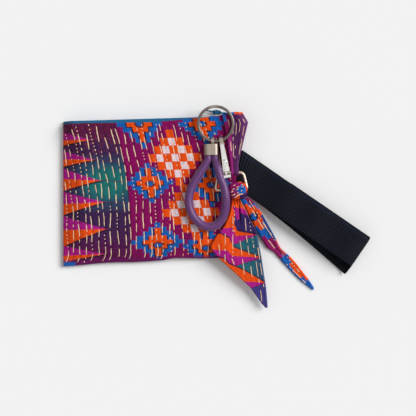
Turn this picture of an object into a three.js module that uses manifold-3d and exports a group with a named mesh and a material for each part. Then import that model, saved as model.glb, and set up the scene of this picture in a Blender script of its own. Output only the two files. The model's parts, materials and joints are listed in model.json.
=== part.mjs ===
// A quilted wristlet pouch with its key hardware, lying on its back: a zipped padded pouch, a webbing wrist strap
// in its side seam, and a sewn tab that carries a D-ring, a snap hook, a split key ring, a cord fob and a scarf.
// Millimetres. X runs along the zip, Y up the pouch towards the zip, Z towards the viewer; z = 0 is what it lies on.
import * as THREE from 'three';
import { mergeVertices } from 'three/addons/utils/BufferGeometryUtils.js';
import Module from 'manifold-3d';

const wasm = await Module();
wasm.setup();

// Clearance between pieces that touch
const GAP = 0.3;

// Pouch
const POUCH_HEIGHT = 123;
const POUCH_TOP_WIDTH = 157;
const LEFT_LEAN = 3.5; // how far the foot of the left side stands out
const RIGHT_LEAN = 20.5; // how far the foot of the right side is drawn in
const PANEL_THICK = 2;
const PANEL_CORNER = 3;
const POUCH_CROWN = 0.3; // the filled middle stands this much above the zipped mouth
const EDGE_RAMP = 24; // from a sewn edge to the full height of the padding
const MOUTH_RAMP = 10; // the same beside the ends of the zip
const EAR_LENGTH = 22; // the front panel's raised corner, over the closed end of the zip
const EAR_RISE = 1.2;
const EAR_SLOPE = 4;
const EAR_TIP_LENGTH = 6; // its outer tip is drawn down
const EAR_TIP_DROP = 5.5;
const LINING_THICK = 0.6;
const LINING_CLEARANCE = 0.8;
const SEAM_ALLOWANCE = 6;
const LINING_INSET = 9;

// Zip
const TAPE_THICK = 0.6;
const TAPE_DEPTH = 8; // sewn under each panel
const TAPE_PEEK = 1.9; // the front tape's fold, seen past the panel's edge
const ZIP_RECESS = 1.2; // chain behind the front panel's edge
const ZIP_END_INSET = 12; // tapes stop this far from the pouch's sides
const CHAIN_THICK = 1.4;
const BEAD_HEIGHT = 0.6;
const TOOTH_REACH = 0.7; // past the middle of the chain
const TOOTH_PITCH = 3;
const TOOTH_NECK = 1.1;
const TOOTH_HEAD = 1.3;
const SEAM_END = 2.2; // the front tape's flattened end stops this far inside the seam
const FLAP_LENGTH = 7; // the back tape's loose end, to the left of the tab
const FLAP_HEIGHT = 3.6;
const FRAY_LENGTH = 8.5;
const FRAY_WIDTH = 1;
const STOP_LENGTH = 1.2;
const SLIDER_LENGTH = 9;
const SLIDER_PLATE = 0.8;
const SLIDER_RIM = 0.6;
const SLIDER_TAPER = 4;
const BAIL_LENGTH = 6;
const BAIL_THICK = 0.7;
const BAIL_POST = 1;
const BAIL_WIDTH = 1.2;
const PULL_LENGTH = 20;
const PULL_WIDTH = 4.8;
const PULL_THICK = 0.7;
const PULL_BAR = 0.9;

// Sewn tab and D-ring
const TAB_LAYER = 0.9;
const TAB_ROOT_WIDTH = 17.6;
const TAB_SHOULDER_WIDTH = 20.6;
const TAB_SHOULDER_DROP = 8.5; // from the hinge line to its widest place
const TAB_SHOULDER_SHIFT = 3; // that place stands out to the right
const TAB_END_WIDTH = 6.6;
const TAB_ROOT_INSET = 10.8; // from the pouch's top right corner to the tab's middle
const TAB_HEM_HEIGHT = 2.3;
const TAB_LENGTH = 51.2; // hinge line to the D-ring's top bar
const TAB_END_SHIFT = 0.7; // the tab's end lies this far to the right of its root
const WIRE_RADIUS = 1.35;
const D_RING_TOP = 21.4;
const D_RING_BASE = 27.6;
const D_RING_HEIGHT = 14.7;
const D_RING_LIFT = 2; // under its wire, over the crown
const D_RING_CORNER = 4.5;
const D_RING_FOOT_CORNER = 2.5;

// Split key ring
const KEY_RING_DIAMETER = 32.2;
const KEY_RING_WIRE_WIDTH = 2.3;
const KEY_RING_WIRE_HEIGHT = 1.2;
const KEY_RING_JOG = 0.7; // radians over which the wire climbs to its second turn
const KEY_RING_TURNS = 1.87;
const KEY_RING_START = 118; // degrees from +X to the wire's first end
const EYE_WALL = 1.3;
const EYE_THICK = 2.6;
const EYE_HOLE = 4.4;

// Snap hook
const HOOK_LENGTH = 28.2; // D-ring bar to key ring wire
const HOOK_LEAN = 8; // degrees, its top leans to the left
const HOOK_INNER = 2.1;
const HOOK_WALL = 2.1;
const HOOK_THROAT = 4.2; // from the bar's middle to the closed gate
const HOOK_MOUTH = 7.6; // from the bar's middle to the body's inner face
const HOOK_WIDTH = 5.8;
const HOOK_NECK_WIDTH = 3;
const GATE_THICK = 1.5;
const GATE_WIDTH = 1.4;
const GATE_SLOT = 3.2;
const GATE_PIN_RADIUS = 0.6;
const SPRING_WIRE = 0.2;
const SPRING_TURNS = 1.5;
const SPRING_PITCH = 0.55;

// Cord fob
const CORD_DIAMETER = 6;
const CAP_LENGTH = 9.4;
const CAP_WALL = 0.35;
const FOB_OFFSET = 7.2; // its eye to the left of the snap hook's eye
const CAP_OFFSET = 1.5; // the cap's middle to the left of its eye

// Scarf
const KNOT_WIDTH = 15.4;
const KNOT_DEPTH = 15.6;
const KNOT_HEIGHT = 13;
const KNOT_OFFSET = 5.8; // to the right of the D-ring's middle
const KNOT_DROP = 1; // below the D-ring's base bar
const TAIL_THICK = 2.6;
const TAIL_FOLD = 0.9;

// Wrist strap
const STRAP_WIDTH = 30;
const WEBBING_THICK = 1.8;
const STRAP_LENGTH = 130;
const STRAP_ANGLE = -36.1; // degrees from +X
const STRAP_SEAM_DROP = 44.5; // from the zip edge down the side seam to the strap's middle
const STRAP_HINGE = 31; // along the strap from its seam
const STRAP_BULGE = 9.6;
const STRAP_SKEW = 6; // the lower layer's far end lies this far to the side
const FLOOR_GAP = 0.3;

// Worked out: the pouch
const TOP = POUCH_HEIGHT / 2;
const HALF_TOP = POUCH_TOP_WIDTH / 2;
const SEAM_TOP = 2 * PANEL_THICK + GAP;
const CHAIN_HALF = TOOTH_REACH + GAP + BEAD_HEIGHT;
const SLIDER_HALF = CHAIN_HALF + GAP + SLIDER_RIM;
const BACK_TAPE_Z = PANEL_THICK + GAP;
const CHAIN_Z = BACK_TAPE_Z + TAPE_THICK + GAP + SLIDER_HALF;
const FOLD_Z = CHAIN_Z + SLIDER_HALF + GAP;
const FRONT_TAPE_TOP = FOLD_Z + 2 * TAPE_THICK + GAP;
const MOUTH_TOP = FRONT_TAPE_TOP + GAP + PANEL_THICK;
const CROWN_TOP = MOUTH_TOP + POUCH_CROWN;

// Worked out: the zip along X and Y
const ZIP_START = -HALF_TOP + ZIP_END_INSET;
const ZIP_END = HALF_TOP - ZIP_END_INSET;
const CHAIN_Y = TOP - ZIP_RECESS;
const SLIDER_END = ZIP_END - GAP - STOP_LENGTH;
const SLIDER_START = SLIDER_END - SLIDER_LENGTH;
const SLIDER_SHOULDER = SLIDER_START + SLIDER_TAPER;
const PLATE_Y = CHAIN_THICK / 2 + GAP;
const SLIDER_TOP_Y = CHAIN_Y + PLATE_Y + SLIDER_PLATE;

// Worked out: the tab and the D-ring
const HINGE_Y = TOP + EAR_RISE + GAP + TAB_LAYER;
const HINGE_Z = CROWN_TOP + GAP;
const BAR_Y = HINGE_Y - TAB_LENGTH;
const BAR_Z = CROWN_TOP + D_RING_LIFT + WIRE_RADIUS;
const TAB_X = HALF_TOP - TAB_ROOT_INSET;
const TAB_END_X = TAB_X + TAB_END_SHIFT;
const LEAN = THREE.MathUtils.degToRad(HOOK_LEAN);
const NOSE_RADIUS = HOOK_INNER + HOOK_WALL;
const HOOK_X = TAB_END_X - TAB_END_WIDTH / 2 - GAP - HOOK_WIDTH / 2 - NOSE_RADIUS * Math.sin(LEAN);
const D_RING_X = (TAB_END_X + HOOK_X) / 2;

// Worked out: the key ring, which hangs in the snap hook's eye
const EYE_RADIUS = EYE_HOLE / 2 + EYE_WALL;
const EYE_Z = CROWN_TOP + GAP + EYE_RADIUS;
const HOOK_EYE_X = HOOK_X - HOOK_LENGTH * Math.sin(LEAN);
const HOOK_EYE_Y = BAR_Y + HOOK_LENGTH * Math.cos(LEAN);
const KEY_RING_RADIUS = (KEY_RING_DIAMETER - KEY_RING_WIRE_WIDTH) / 2;
const FOB_X = HOOK_EYE_X - FOB_OFFSET;
const KEY_RING_X = FOB_X + 0.4 * FOB_OFFSET;
const KEY_RING_Y = HOOK_EYE_Y + Math.sqrt(KEY_RING_RADIUS ** 2 - (HOOK_EYE_X - KEY_RING_X) ** 2);
const FOB_Y = KEY_RING_Y - Math.sqrt(KEY_RING_RADIUS ** 2 - (FOB_X - KEY_RING_X) ** 2);

const point = (x, y, z) => new THREE.Vector3(x, y, z);
const mix = THREE.MathUtils.lerp;

// From 0 to 1, steep at first and level at the end.
function ease(t) {
  return Math.sin(THREE.MathUtils.clamp(t, 0, 1) * Math.PI / 2);
}

function turnOutward(geometry) {
  const place = geometry.getAttribute('position');
  const order = geometry.index.array;
  const [a, b, c] = [point(), point(), point()];
  let volume = 0;
  for (let i = 0; i < order.length; i += 3) {
    a.fromBufferAttribute(place, order[i]);
    b.fromBufferAttribute(place, order[i + 1]);
    c.fromBufferAttribute(place, order[i + 2]);
    volume += a.dot(b.cross(c));
  }
  if (volume < 0) order.reverse();
  return geometry;
}

// A closed solid through rows of points, each row a ring with an even count; endless joins the last row to the first.
function loft(rows, endless = false) {
  const count = rows[0].length;
  const order = [];
  const quad = (a, b, c, d) => order.push(a, b, c, a, c, d);
  const spans = endless ? rows.length : rows.length - 1;
  for (let row = 0; row < spans; row++) {
    const near = row * count;
    const far = ((row + 1) % rows.length) * count;
    for (let i = 0; i < count; i++) {
      const next = (i + 1) % count;
      quad(near + i, near + next, far + next, far + i);
    }
  }
  const last = (rows.length - 1) * count;
  for (let i = 0; i < count / 2 - 1 && !endless; i++) {
    const mirrored = count - 1 - i;
    quad(mirrored, mirrored - 1, i + 1, i);
    quad(last + i, last + i + 1, last + mirrored - 1, last + mirrored);
  }
  const geometry = new THREE.BufferGeometry().setFromPoints(rows.flat());
  geometry.setIndex(new THREE.BufferAttribute(new Uint32Array(order), 1));
  return turnOutward(geometry);
}

// A tube of a round section along points that lie about level.
function tube(points, radius, sides, endless = false) {
  const rows = points.map((here, i) => {
    const before = points[endless ? (i + points.length - 1) % points.length : Math.max(0, i - 1)];
    const after = points[endless ? (i + 1) % points.length : Math.min(points.length - 1, i + 1)];
    const along = after.clone().sub(before).normalize();
    const side = along.clone().cross(point(0, 0, 1)).normalize();
    const up = side.clone().cross(along);
    return Array.from({ length: sides }, (_, k) => {
      const turn = (k + 0.5) * 2 * Math.PI / sides;
      return here.clone()
        .addScaledVector(side, radius * Math.cos(turn))
        .addScaledVector(up, radius * Math.sin(turn));
    });
  });
  return loft(rows, endless);
}

// Sheet of cloth: place(u, v) gives its top, and depth(u, v) how far below that its underside lies.
function sheet(across, along, place, depth) {
  const rows = [];
  for (let j = 0; j <= along; j++) {
    const top = [];
    for (let i = 0; i <= across; i++) top.push(place(i / across, j / along));
    const under = top.map((p, i) => p.clone().setZ(p.z - depth(i / across, j / along)));
    rows.push([...top, ...under.reverse()]);
  }
  return loft(rows);
}

// Closer steps towards both ends of 0 to 1.
function crowd(t) {
  return (1 - Math.cos(Math.PI * t)) / 2;
}

function bare(geometry) {
  const plain = geometry.index ? geometry.toNonIndexed() : geometry.clone();
  plain.deleteAttribute('normal');
  plain.deleteAttribute('uv');
  return mergeVertices(plain, 1e-4);
}

function solid(geometry) {
  const merged = bare(geometry);
  return new wasm.Manifold(new wasm.Mesh({
    numProp: 3,
    vertProperties: new Float32Array(merged.getAttribute('position').array),
    triVerts: new Uint32Array(merged.index.array),
  }));
}

function geometryOf(made) {
  const mesh = made.getMesh();
  const geometry = new THREE.BufferGeometry();
  geometry.setAttribute('position', new THREE.BufferAttribute(new Float32Array(mesh.vertProperties), 3));
  geometry.setIndex(new THREE.BufferAttribute(new Uint32Array(mesh.triVerts), 1));
  return geometry;
}

function joined(first, ...others) {
  return geometryOf(others.reduce((made, other) => made.add(solid(other)), solid(first)));
}

function cut(first, ...others) {
  return geometryOf(others.reduce((made, other) => made.subtract(solid(other)), solid(first)));
}

function block(low, high) {
  const size = high.map((value, i) => value - low[i]);
  return new THREE.BoxGeometry(...size)
    .translate(...low.map((value, i) => value + size[i] / 2));
}

// Shape drawn in X and Y, given a thickness along Z.
function slab(shape, bottom, thickness, curveSegments = 6) {
  return new THREE.ExtrudeGeometry(shape, { depth: thickness, bevelEnabled: false, curveSegments })
    .translate(0, 0, bottom);
}

// Shape drawn in Y and Z, given a width along X about its middle.
function sideways(shape, width, curveSegments = 8) {
  return new THREE.ExtrudeGeometry(shape, { depth: width, bevelEnabled: false, curveSegments })
    .translate(0, 0, -width / 2)
    .applyMatrix4(new THREE.Matrix4().makeBasis(point(0, 1, 0), point(0, 0, 1), point(1, 0, 0)));
}

function outline(points) {
  return new THREE.Shape(points.map(([x, y]) => new THREE.Vector2(x, y)));
}

// The points of a closed outline whose corners are rounded, by one radius or by one for each corner.
function rounded(corners, radius, steps = 4) {
  const points = [];
  corners.forEach((corner, i) => {
    const here = new THREE.Vector2(...corner);
    const back = new THREE.Vector2(...corners.at(i - 1)).sub(here).normalize();
    const on = new THREE.Vector2(...corners[(i + 1) % corners.length]).sub(here).normalize();
    const half = Math.acos(THREE.MathUtils.clamp(back.dot(on), -1, 1)) / 2;
    const reach = (radius[i] ?? radius) / Math.tan(half);
    const start = here.clone().addScaledVector(back, reach);
    const end = here.clone().addScaledVector(on, reach);
    const bend = new THREE.QuadraticBezierCurve(start, here, end);
    points.push(...bend.getPoints(steps).map((p) => [p.x, p.y]));
  });
  return points;
}

function leftSide(y) {
  return -HALF_TOP - LEFT_LEAN * (TOP - y) / POUCH_HEIGHT;
}

function rightSide(y) {
  return HALF_TOP - RIGHT_LEAN * (TOP - y) / POUCH_HEIGHT;
}

// Top edge of the front panel, with its raised ear at the closed end of the zip and the ear's drooping tip.
function frontEdge(x) {
  const rise = EAR_RISE * ease((x - HALF_TOP + EAR_LENGTH) / EAR_SLOPE);
  const tip = THREE.MathUtils.clamp((x - HALF_TOP + EAR_TIP_LENGTH) / EAR_TIP_LENGTH, 0, 1);
  return TOP + rise - EAR_TIP_DROP * tip * tip;
}

// Outer face of the front panel over the point x, y.
function frontHeight(x, y) {
  const below = ease((TOP - TAPE_DEPTH - y) / EDGE_RAMP);
  const ramp = mix(MOUTH_RAMP, EDGE_RAMP, below);
  const full = mix(MOUTH_TOP, CROWN_TOP, below) - SEAM_TOP;
  const sides = ease((x - leftSide(y)) / ramp) * ease((rightSide(y) - x) / ramp);
  return SEAM_TOP + full * sides * ease((y + TOP) / EDGE_RAMP);
}

function pouchOutline(inset, topInset) {
  const foot = -TOP + inset;
  const head = TOP - topInset;
  const corners = [PANEL_CORNER, PANEL_CORNER, EAR_TIP_DROP, PANEL_CORNER];
  return rounded([
    [leftSide(foot) + inset, foot],
    [rightSide(foot) - inset, foot],
    [rightSide(head) - inset, head],
    [leftSide(head) + inset, head],
  ], corners);
}

function backPanel() {
  return slab(outline(pouchOutline(0, 0)), 0, PANEL_THICK);
}

function frontPanel() {
  const place = (u, v) => {
    const across = crowd(u);
    const foot = -TOP;
    const top = frontEdge(mix(-HALF_TOP, HALF_TOP, across));
    const y = mix(top, foot, crowd(v));
    const level = Math.min(y, TOP);
    const x = mix(leftSide(level), rightSide(level), across);
    return point(x, y, frontHeight(x, level));
  };
  return sheet(24, 18, place, () => PANEL_THICK);
}

function backLining() {
  return slab(outline(pouchOutline(LINING_INSET, TAPE_DEPTH + GAP)), BACK_TAPE_Z, LINING_THICK);
}

function frontLining() {
  const head = TOP - TAPE_DEPTH - GAP;
  const foot = -TOP + LINING_INSET;
  const place = (u, v) => {
    const y = mix(head, foot, crowd(v));
    const x = mix(leftSide(y) + LINING_INSET, rightSide(y) - LINING_INSET, crowd(u));
    return point(x, y, frontHeight(x, y) - PANEL_THICK - LINING_CLEARANCE);
  };
  return sheet(22, 16, place, () => LINING_THICK);
}

function alongZip(section, start, end) {
  return sideways(outline(section), end - start).translate((start + end) / 2, 0, 0);
}

function backTape() {
  const inner = TOP - TAPE_DEPTH;
  const face = CHAIN_Y + TAPE_THICK / 2;
  const edge = CHAIN_Z - CHAIN_HALF - GAP;
  return alongZip([
    [inner, BACK_TAPE_Z],
    [face, BACK_TAPE_Z],
    [face, edge],
    [face - TAPE_THICK, edge],
    [face - TAPE_THICK, BACK_TAPE_Z + TAPE_THICK],
    [inner, BACK_TAPE_Z + TAPE_THICK],
  ], ZIP_START, ZIP_END);
}

// The front tape rises from the chain, folds out past the panel's edge and runs back under the panel.
function frontTape() {
  const inner = TOP - TAPE_DEPTH;
  const fold = TOP + TAPE_PEEK;
  const face = CHAIN_Y + TAPE_THICK / 2;
  const edge = CHAIN_Z + CHAIN_HALF + GAP;
  const upper = FRONT_TAPE_TOP - TAPE_THICK;
  return alongZip([
    [face - TAPE_THICK, edge],
    [face, edge],
    [face, FOLD_Z],
    [fold, FOLD_Z],
    [fold, FRONT_TAPE_TOP],
    [inner, FRONT_TAPE_TOP],
    [inner, upper],
    [fold - TAPE_THICK, upper],
    [fold - TAPE_THICK, FOLD_Z + TAPE_THICK],
    [face - TAPE_THICK, FOLD_Z + TAPE_THICK],
  ], ZIP_START, ZIP_END);
}

// A row of moulded teeth on its bead. side is 1 on the front tape and -1 on the back one.
function teeth(side) {
  const start = ZIP_START + STOP_LENGTH + 2 * GAP;
  const end = ZIP_END - STOP_LENGTH - 2 * GAP;
  const shift = side > 0 ? 0 : TOOTH_PITCH / 2;
  const first = start + shift + TOOTH_HEAD;
  const count = Math.floor((end - first - TOOTH_HEAD) / TOOTH_PITCH) + 1;
  const root = side * (TOOTH_REACH + GAP);
  const points = [[start, side * CHAIN_HALF], [start, root]];
  for (let i = 0; i < count; i++) {
    const middle = first + i * TOOTH_PITCH;
    points.push([middle - TOOTH_NECK / 2, root]);
    points.push([middle - TOOTH_HEAD / 2, 0]);
    points.push([middle - TOOTH_NECK / 2, -side * TOOTH_REACH]);
    points.push([middle + TOOTH_NECK / 2, -side * TOOTH_REACH]);
    points.push([middle + TOOTH_HEAD / 2, 0]);
    points.push([middle + TOOTH_NECK / 2, root]);
  }
  points.push([end, root], [end, side * CHAIN_HALF]);
  return slab(outline(points), -CHAIN_THICK / 2, CHAIN_THICK)
    .rotateX(Math.PI / 2)
    .translate(0, CHAIN_Y, CHAIN_Z);
}

// A metal stop crimped round both rows at the end of the chain.
function zipStop(start) {
  return block(
    [start, CHAIN_Y - PLATE_Y, CHAIN_Z - CHAIN_HALF],
    [start + STOP_LENGTH, CHAIN_Y + PLATE_Y, CHAIN_Z + CHAIN_HALF],
  );
}

// The folded end of the tapes, tucked into the side seam.
function endTab(side) {
  const length = ZIP_END_INSET - SEAM_ALLOWANCE;
  const near = side * (HALF_TOP - ZIP_END_INSET + GAP);
  const far = near + side * length;
  const height = CHAIN_Z + CHAIN_HALF;
  const shape = outline(rounded([
    [near, BACK_TAPE_Z],
    [far, BACK_TAPE_Z],
    [far, (BACK_TAPE_Z + height) / 2],
    [near, height],
  ], 0.8));
  return slab(shape, -PLATE_Y, 2 * PLATE_Y).rotateX(Math.PI / 2).translate(0, CHAIN_Y, 0);
}

// The front tape's flattened end, which slopes down with the panel to the left side seam, behind the pull's path.
function tapeEnd() {
  const place = (u, v) => {
    const x = mix(ZIP_START - GAP, leftSide(TOP) + SEAM_END, v);
    const y = mix(TOP - TAPE_DEPTH, SLIDER_TOP_Y, u);
    return point(x, y, frontHeight(x, TOP) - PANEL_THICK - LINING_CLEARANCE);
  };
  return sheet(1, 10, place, () => 2 * TAPE_THICK);
}

// The loose end of the back tape: a flap that comes out under the slider, and a frayed strip that runs to the left.
function tapeTail() {
  const inner = CHAIN_Y + TAPE_THICK / 2 + GAP;
  const low = TOP + TAPE_PEEK;
  const start = TAB_X - TAB_ROOT_WIDTH / 2 - GAP;
  const flap = start - FLAP_LENGTH;
  const high = low + GAP + FLAP_HEIGHT;
  const shape = outline([
    [ZIP_END, inner],
    [ZIP_END, low],
    [start, high - FRAY_WIDTH],
    [mix(start, flap, 0.5), high],
    [flap, high - FRAY_WIDTH],
    [flap - FRAY_LENGTH, high + 0.5 * FRAY_WIDTH],
    [flap - FRAY_LENGTH, high - 0.5 * FRAY_WIDTH],
    [flap, high - 2 * FRAY_WIDTH],
    [flap, inner],
  ]);
  return slab(shape, BACK_TAPE_Z, TAPE_THICK);
}

// One plate of the slider, with rims that keep the teeth in; side is 1 for the outer plate and -1 for the inner.
function sliderPlate(side) {
  const shape = outline(rounded([
    [SLIDER_START, -SLIDER_HALF + SLIDER_RIM],
    [SLIDER_SHOULDER, -SLIDER_HALF],
    [SLIDER_END, -SLIDER_HALF],
    [SLIDER_END, SLIDER_HALF],
    [SLIDER_SHOULDER, SLIDER_HALF],
    [SLIDER_START, SLIDER_HALF - SLIDER_RIM],
  ], 0.5, 2));
  const bottom = side > 0 ? -PLATE_Y - SLIDER_PLATE : PLATE_Y;
  const plate = slab(shape, bottom, SLIDER_PLATE).rotateX(Math.PI / 2).translate(0, CHAIN_Y, CHAIN_Z);
  const slot = TAPE_THICK / 2 + GAP;
  const across = [slot, PLATE_Y + SLIDER_PLATE / 2].map((y) => CHAIN_Y + side * y).sort((a, b) => a - b);
  const rims = [-1, 1].map((up) => {
    const level = [SLIDER_HALF - SLIDER_RIM, SLIDER_HALF].map((z) => CHAIN_Z + up * z).sort((a, b) => a - b);
    return block([SLIDER_SHOULDER, across[0], level[0]], [SLIDER_END - SLIDER_RIM, across[1], level[1]]);
  });
  return joined(plate, ...rims);
}

function outerSlider() {
  return joined(sliderPlate(1), bail());
}

const BAIL_START = (SLIDER_START + SLIDER_END - BAIL_LENGTH) / 2;
const PULL_Y = SLIDER_TOP_Y + GAP;
const PULL_X = BAIL_START + BAIL_POST + GAP + PULL_BAR / 2;

function bail() {
  const top = PULL_Y + PULL_THICK + GAP;
  const low = SLIDER_TOP_Y - SLIDER_PLATE / 2;
  const end = BAIL_START + BAIL_LENGTH;
  const arch = outline([
    [BAIL_START, low],
    [BAIL_START + BAIL_POST, low],
    [BAIL_START + BAIL_POST, top],
    [end - BAIL_POST, top],
    [end - BAIL_POST, low],
    [end, low],
    [end, top + 0.4 * BAIL_THICK],
    [end - 0.6 * BAIL_POST, top + BAIL_THICK],
    [BAIL_START + 0.6 * BAIL_POST, top + BAIL_THICK],
    [BAIL_START, top + 0.4 * BAIL_THICK],
  ]);
  return slab(arch, CHAIN_Z - BAIL_WIDTH / 2, BAIL_WIDTH);
}

// A flat pull whose eye goes round the bail's post; it lies back along the zip, under the tape's fold.
function pull() {
  const start = PULL_X + PULL_BAR / 2;
  const hole = BAIL_WIDTH / 2 + GAP;
  const arm = hole + 1;
  const eyeEnd = BAIL_START - 2 * GAP;
  const end = start - PULL_LENGTH;
  const shape = outline(rounded([
    [start, -arm],
    [start, arm],
    [eyeEnd - 0.5, arm],
    [eyeEnd - 3, PULL_WIDTH / 2],
    [end, PULL_WIDTH / 2],
    [end, -PULL_WIDTH / 2],
    [eyeEnd - 3, -PULL_WIDTH / 2],
    [eyeEnd - 0.5, -arm],
  ], 0.3, 2));
  shape.holes.push(new THREE.Path([
    new THREE.Vector2(start - PULL_BAR, -hole),
    new THREE.Vector2(start - PULL_BAR, hole),
    new THREE.Vector2(eyeEnd, hole),
    new THREE.Vector2(eyeEnd, -hole),
  ]));
  return slab(shape, -PULL_Y - PULL_THICK, PULL_THICK).rotateX(Math.PI / 2).translate(0, 0, CHAIN_Z);
}

// The tab's sewn end, standing against the ear's edge.
function tabRoot() {
  const x = TAB_X;
  const low = HINGE_Z - GAP - TAB_HEM_HEIGHT;
  return block(
    [x - TAB_ROOT_WIDTH / 2, HINGE_Y - TAB_LAYER, low],
    [x + TAB_ROOT_WIDTH / 2, HINGE_Y, HINGE_Z - GAP / 2],
  );
}

// The doubled strip that narrows towards the D-ring and loops round its bar.
function ringTab() {
  const inner = WIRE_RADIUS + GAP;
  const outer = inner + TAB_LAYER;
  const low = HINGE_Z;
  const high = HINGE_Z + 2 * TAB_LAYER;
  const neck = BAR_Y + 3.4 * outer;
  const shoulder = HINGE_Y - TAB_SHOULDER_DROP;
  const shape = new THREE.Shape();
  shape.moveTo(HINGE_Y, low);
  shape.lineTo(HINGE_Y, high);
  shape.lineTo(shoulder, high);
  shape.lineTo(neck, high);
  shape.bezierCurveTo(neck - outer, high, BAR_Y + outer, BAR_Z + outer, BAR_Y, BAR_Z + outer);
  shape.absarc(BAR_Y, BAR_Z, outer, Math.PI / 2, 3 * Math.PI / 2, false);
  shape.bezierCurveTo(BAR_Y + outer, BAR_Z - outer, neck - outer, low, neck, low);
  shape.lineTo(shoulder, low);
  shape.holes.push(new THREE.Path().absarc(BAR_Y, BAR_Z, inner, 0, 2 * Math.PI, true));
  const strip = sideways(shape, 1, 10);
  const place = strip.getAttribute('position');
  for (let i = 0; i < place.count; i++) {
    const y = place.getY(i);
    const lower = THREE.MathUtils.clamp((y - neck) / (shoulder - neck), 0, 1);
    const upper = THREE.MathUtils.clamp((y - shoulder) / TAB_SHOULDER_DROP, 0, 1);
    const width = mix(mix(TAB_END_WIDTH, TAB_SHOULDER_WIDTH, lower), TAB_ROOT_WIDTH, upper);
    const middle = mix(mix(TAB_END_X, TAB_X + TAB_SHOULDER_SHIFT, lower), TAB_X, upper);
    place.setX(i, middle + place.getX(i) * width);
  }
  return strip;
}

function dRing(radius) {
  const corners = [
    [D_RING_X - D_RING_BASE / 2, BAR_Y - D_RING_HEIGHT],
    [D_RING_X + D_RING_BASE / 2, BAR_Y - D_RING_HEIGHT],
    [D_RING_X + D_RING_TOP / 2, BAR_Y],
    [D_RING_X - D_RING_TOP / 2, BAR_Y],
  ];
  const radii = [D_RING_FOOT_CORNER, D_RING_FOOT_CORNER, D_RING_CORNER, D_RING_CORNER];
  const path = rounded(corners, radii, 6).map(([x, y]) => point(x, y, BAR_Z));
  return tube(path, radius, 10, true);
}

function keyRing() {
  const pitch = KEY_RING_WIRE_HEIGHT + GAP;
  const turns = 2 * Math.PI * KEY_RING_TURNS;
  const steps = 84;
  const start = THREE.MathUtils.degToRad(KEY_RING_START);
  const rows = [];
  for (let i = 0; i <= steps; i++) {
    const turn = turns * i / steps;
    const climb = THREE.MathUtils.smoothstep(turn, 2 * Math.PI - KEY_RING_JOG, 2 * Math.PI);
    const z = EYE_Z + pitch * (climb - 0.5);
    const half = KEY_RING_WIRE_HEIGHT / 2;
    const side = KEY_RING_WIRE_WIDTH / 2;
    const section = [
      [-side, -0.5 * half], [-0.6 * side, -half], [0.6 * side, -half], [side, -0.5 * half],
      [side, 0.5 * half], [0.6 * side, half], [-0.6 * side, half], [-side, 0.5 * half],
    ];
    rows.push(section.map(([out, up]) => point(
      KEY_RING_X + (KEY_RING_RADIUS + out) * Math.cos(start + turn),
      KEY_RING_Y + (KEY_RING_RADIUS + out) * Math.sin(start + turn),
      z + up,
    )));
  }
  return loft(rows);
}

// Snap hook, drawn about the D-ring's bar: Y runs up its length to the eye, Z away from the pouch.
const BODY_TOP = HOOK_THROAT + GATE_THICK + GAP;
const PIN_Y = HOOK_MOUTH + 2.2;
const PIN_Z = HOOK_THROAT + GATE_THICK / 2;

function hookBody() {
  const outer = NOSE_RADIUS;
  const eyeZ = EYE_Z - BAR_Z;
  const shape = new THREE.Shape();
  shape.moveTo(-outer, BODY_TOP);
  shape.lineTo(-outer, 0);
  shape.absarc(0, 0, outer, Math.PI, 1.5 * Math.PI, false);
  shape.lineTo(PIN_Y, -outer);
  shape.absarc(HOOK_LENGTH, eyeZ, EYE_RADIUS, 1.35 * Math.PI, 2.7 * Math.PI, false);
  shape.lineTo(PIN_Y + 3, BODY_TOP);
  shape.lineTo(HOOK_MOUTH, BODY_TOP);
  shape.lineTo(HOOK_MOUTH, -HOOK_INNER);
  shape.lineTo(0, -HOOK_INNER);
  shape.absarc(0, 0, HOOK_INNER, 1.5 * Math.PI, Math.PI, true);
  shape.lineTo(-HOOK_INNER, BODY_TOP);
  shape.holes.push(new THREE.Path().absarc(HOOK_LENGTH, eyeZ, EYE_HOLE / 2, 0, 2 * Math.PI, true));
  const body = sideways(shape, 1, 10);
  const place = body.getAttribute('position');
  for (let i = 0; i < place.count; i++) {
    const t = THREE.MathUtils.clamp(place.getY(i) / (HOOK_LENGTH - EYE_RADIUS), 0, 1);
    place.setX(i, place.getX(i) * mix(HOOK_WIDTH, HOOK_NECK_WIDTH, t));
  }
  const slot = block(
    [-GATE_SLOT / 2, HOOK_MOUTH - 1, PIN_Z - GATE_THICK - GAP],
    [GATE_SLOT / 2, PIN_Y + GATE_THICK + GAP, BODY_TOP + 1],
  );
  const bore = new THREE.CylinderGeometry(GATE_PIN_RADIUS + GAP, GATE_PIN_RADIUS + GAP, HOOK_WIDTH + 1, 12)
    .rotateZ(Math.PI / 2).translate(0, PIN_Y, PIN_Z);
  return cut(body, slot, bore);
}

function gate() {
  const low = -GATE_THICK / 2;
  const shape = new THREE.Shape();
  shape.moveTo(-PIN_Y - HOOK_INNER + GAP, low);
  shape.lineTo(-GATE_THICK, low);
  shape.absarc(0, 0, GATE_THICK, 1.5 * Math.PI, 2.5 * Math.PI, false);
  shape.lineTo(-GATE_THICK, GATE_THICK / 2);
  shape.lineTo(-PIN_Y - HOOK_INNER + GAP, -low);
  shape.holes.push(new THREE.Path().absarc(0, 0, GATE_PIN_RADIUS + GAP, 0, 2 * Math.PI, true));
  return sideways(shape, GATE_WIDTH, 6).translate(-(GATE_SLOT - GATE_WIDTH) / 2 + GAP, PIN_Y, PIN_Z);
}

function gatePin() {
  const length = mix(HOOK_WIDTH, HOOK_NECK_WIDTH, PIN_Y / (HOOK_LENGTH - EYE_RADIUS));
  return new THREE.CylinderGeometry(GATE_PIN_RADIUS, GATE_PIN_RADIUS, length, 12)
    .rotateZ(Math.PI / 2).translate(0, PIN_Y, PIN_Z);
}

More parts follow.
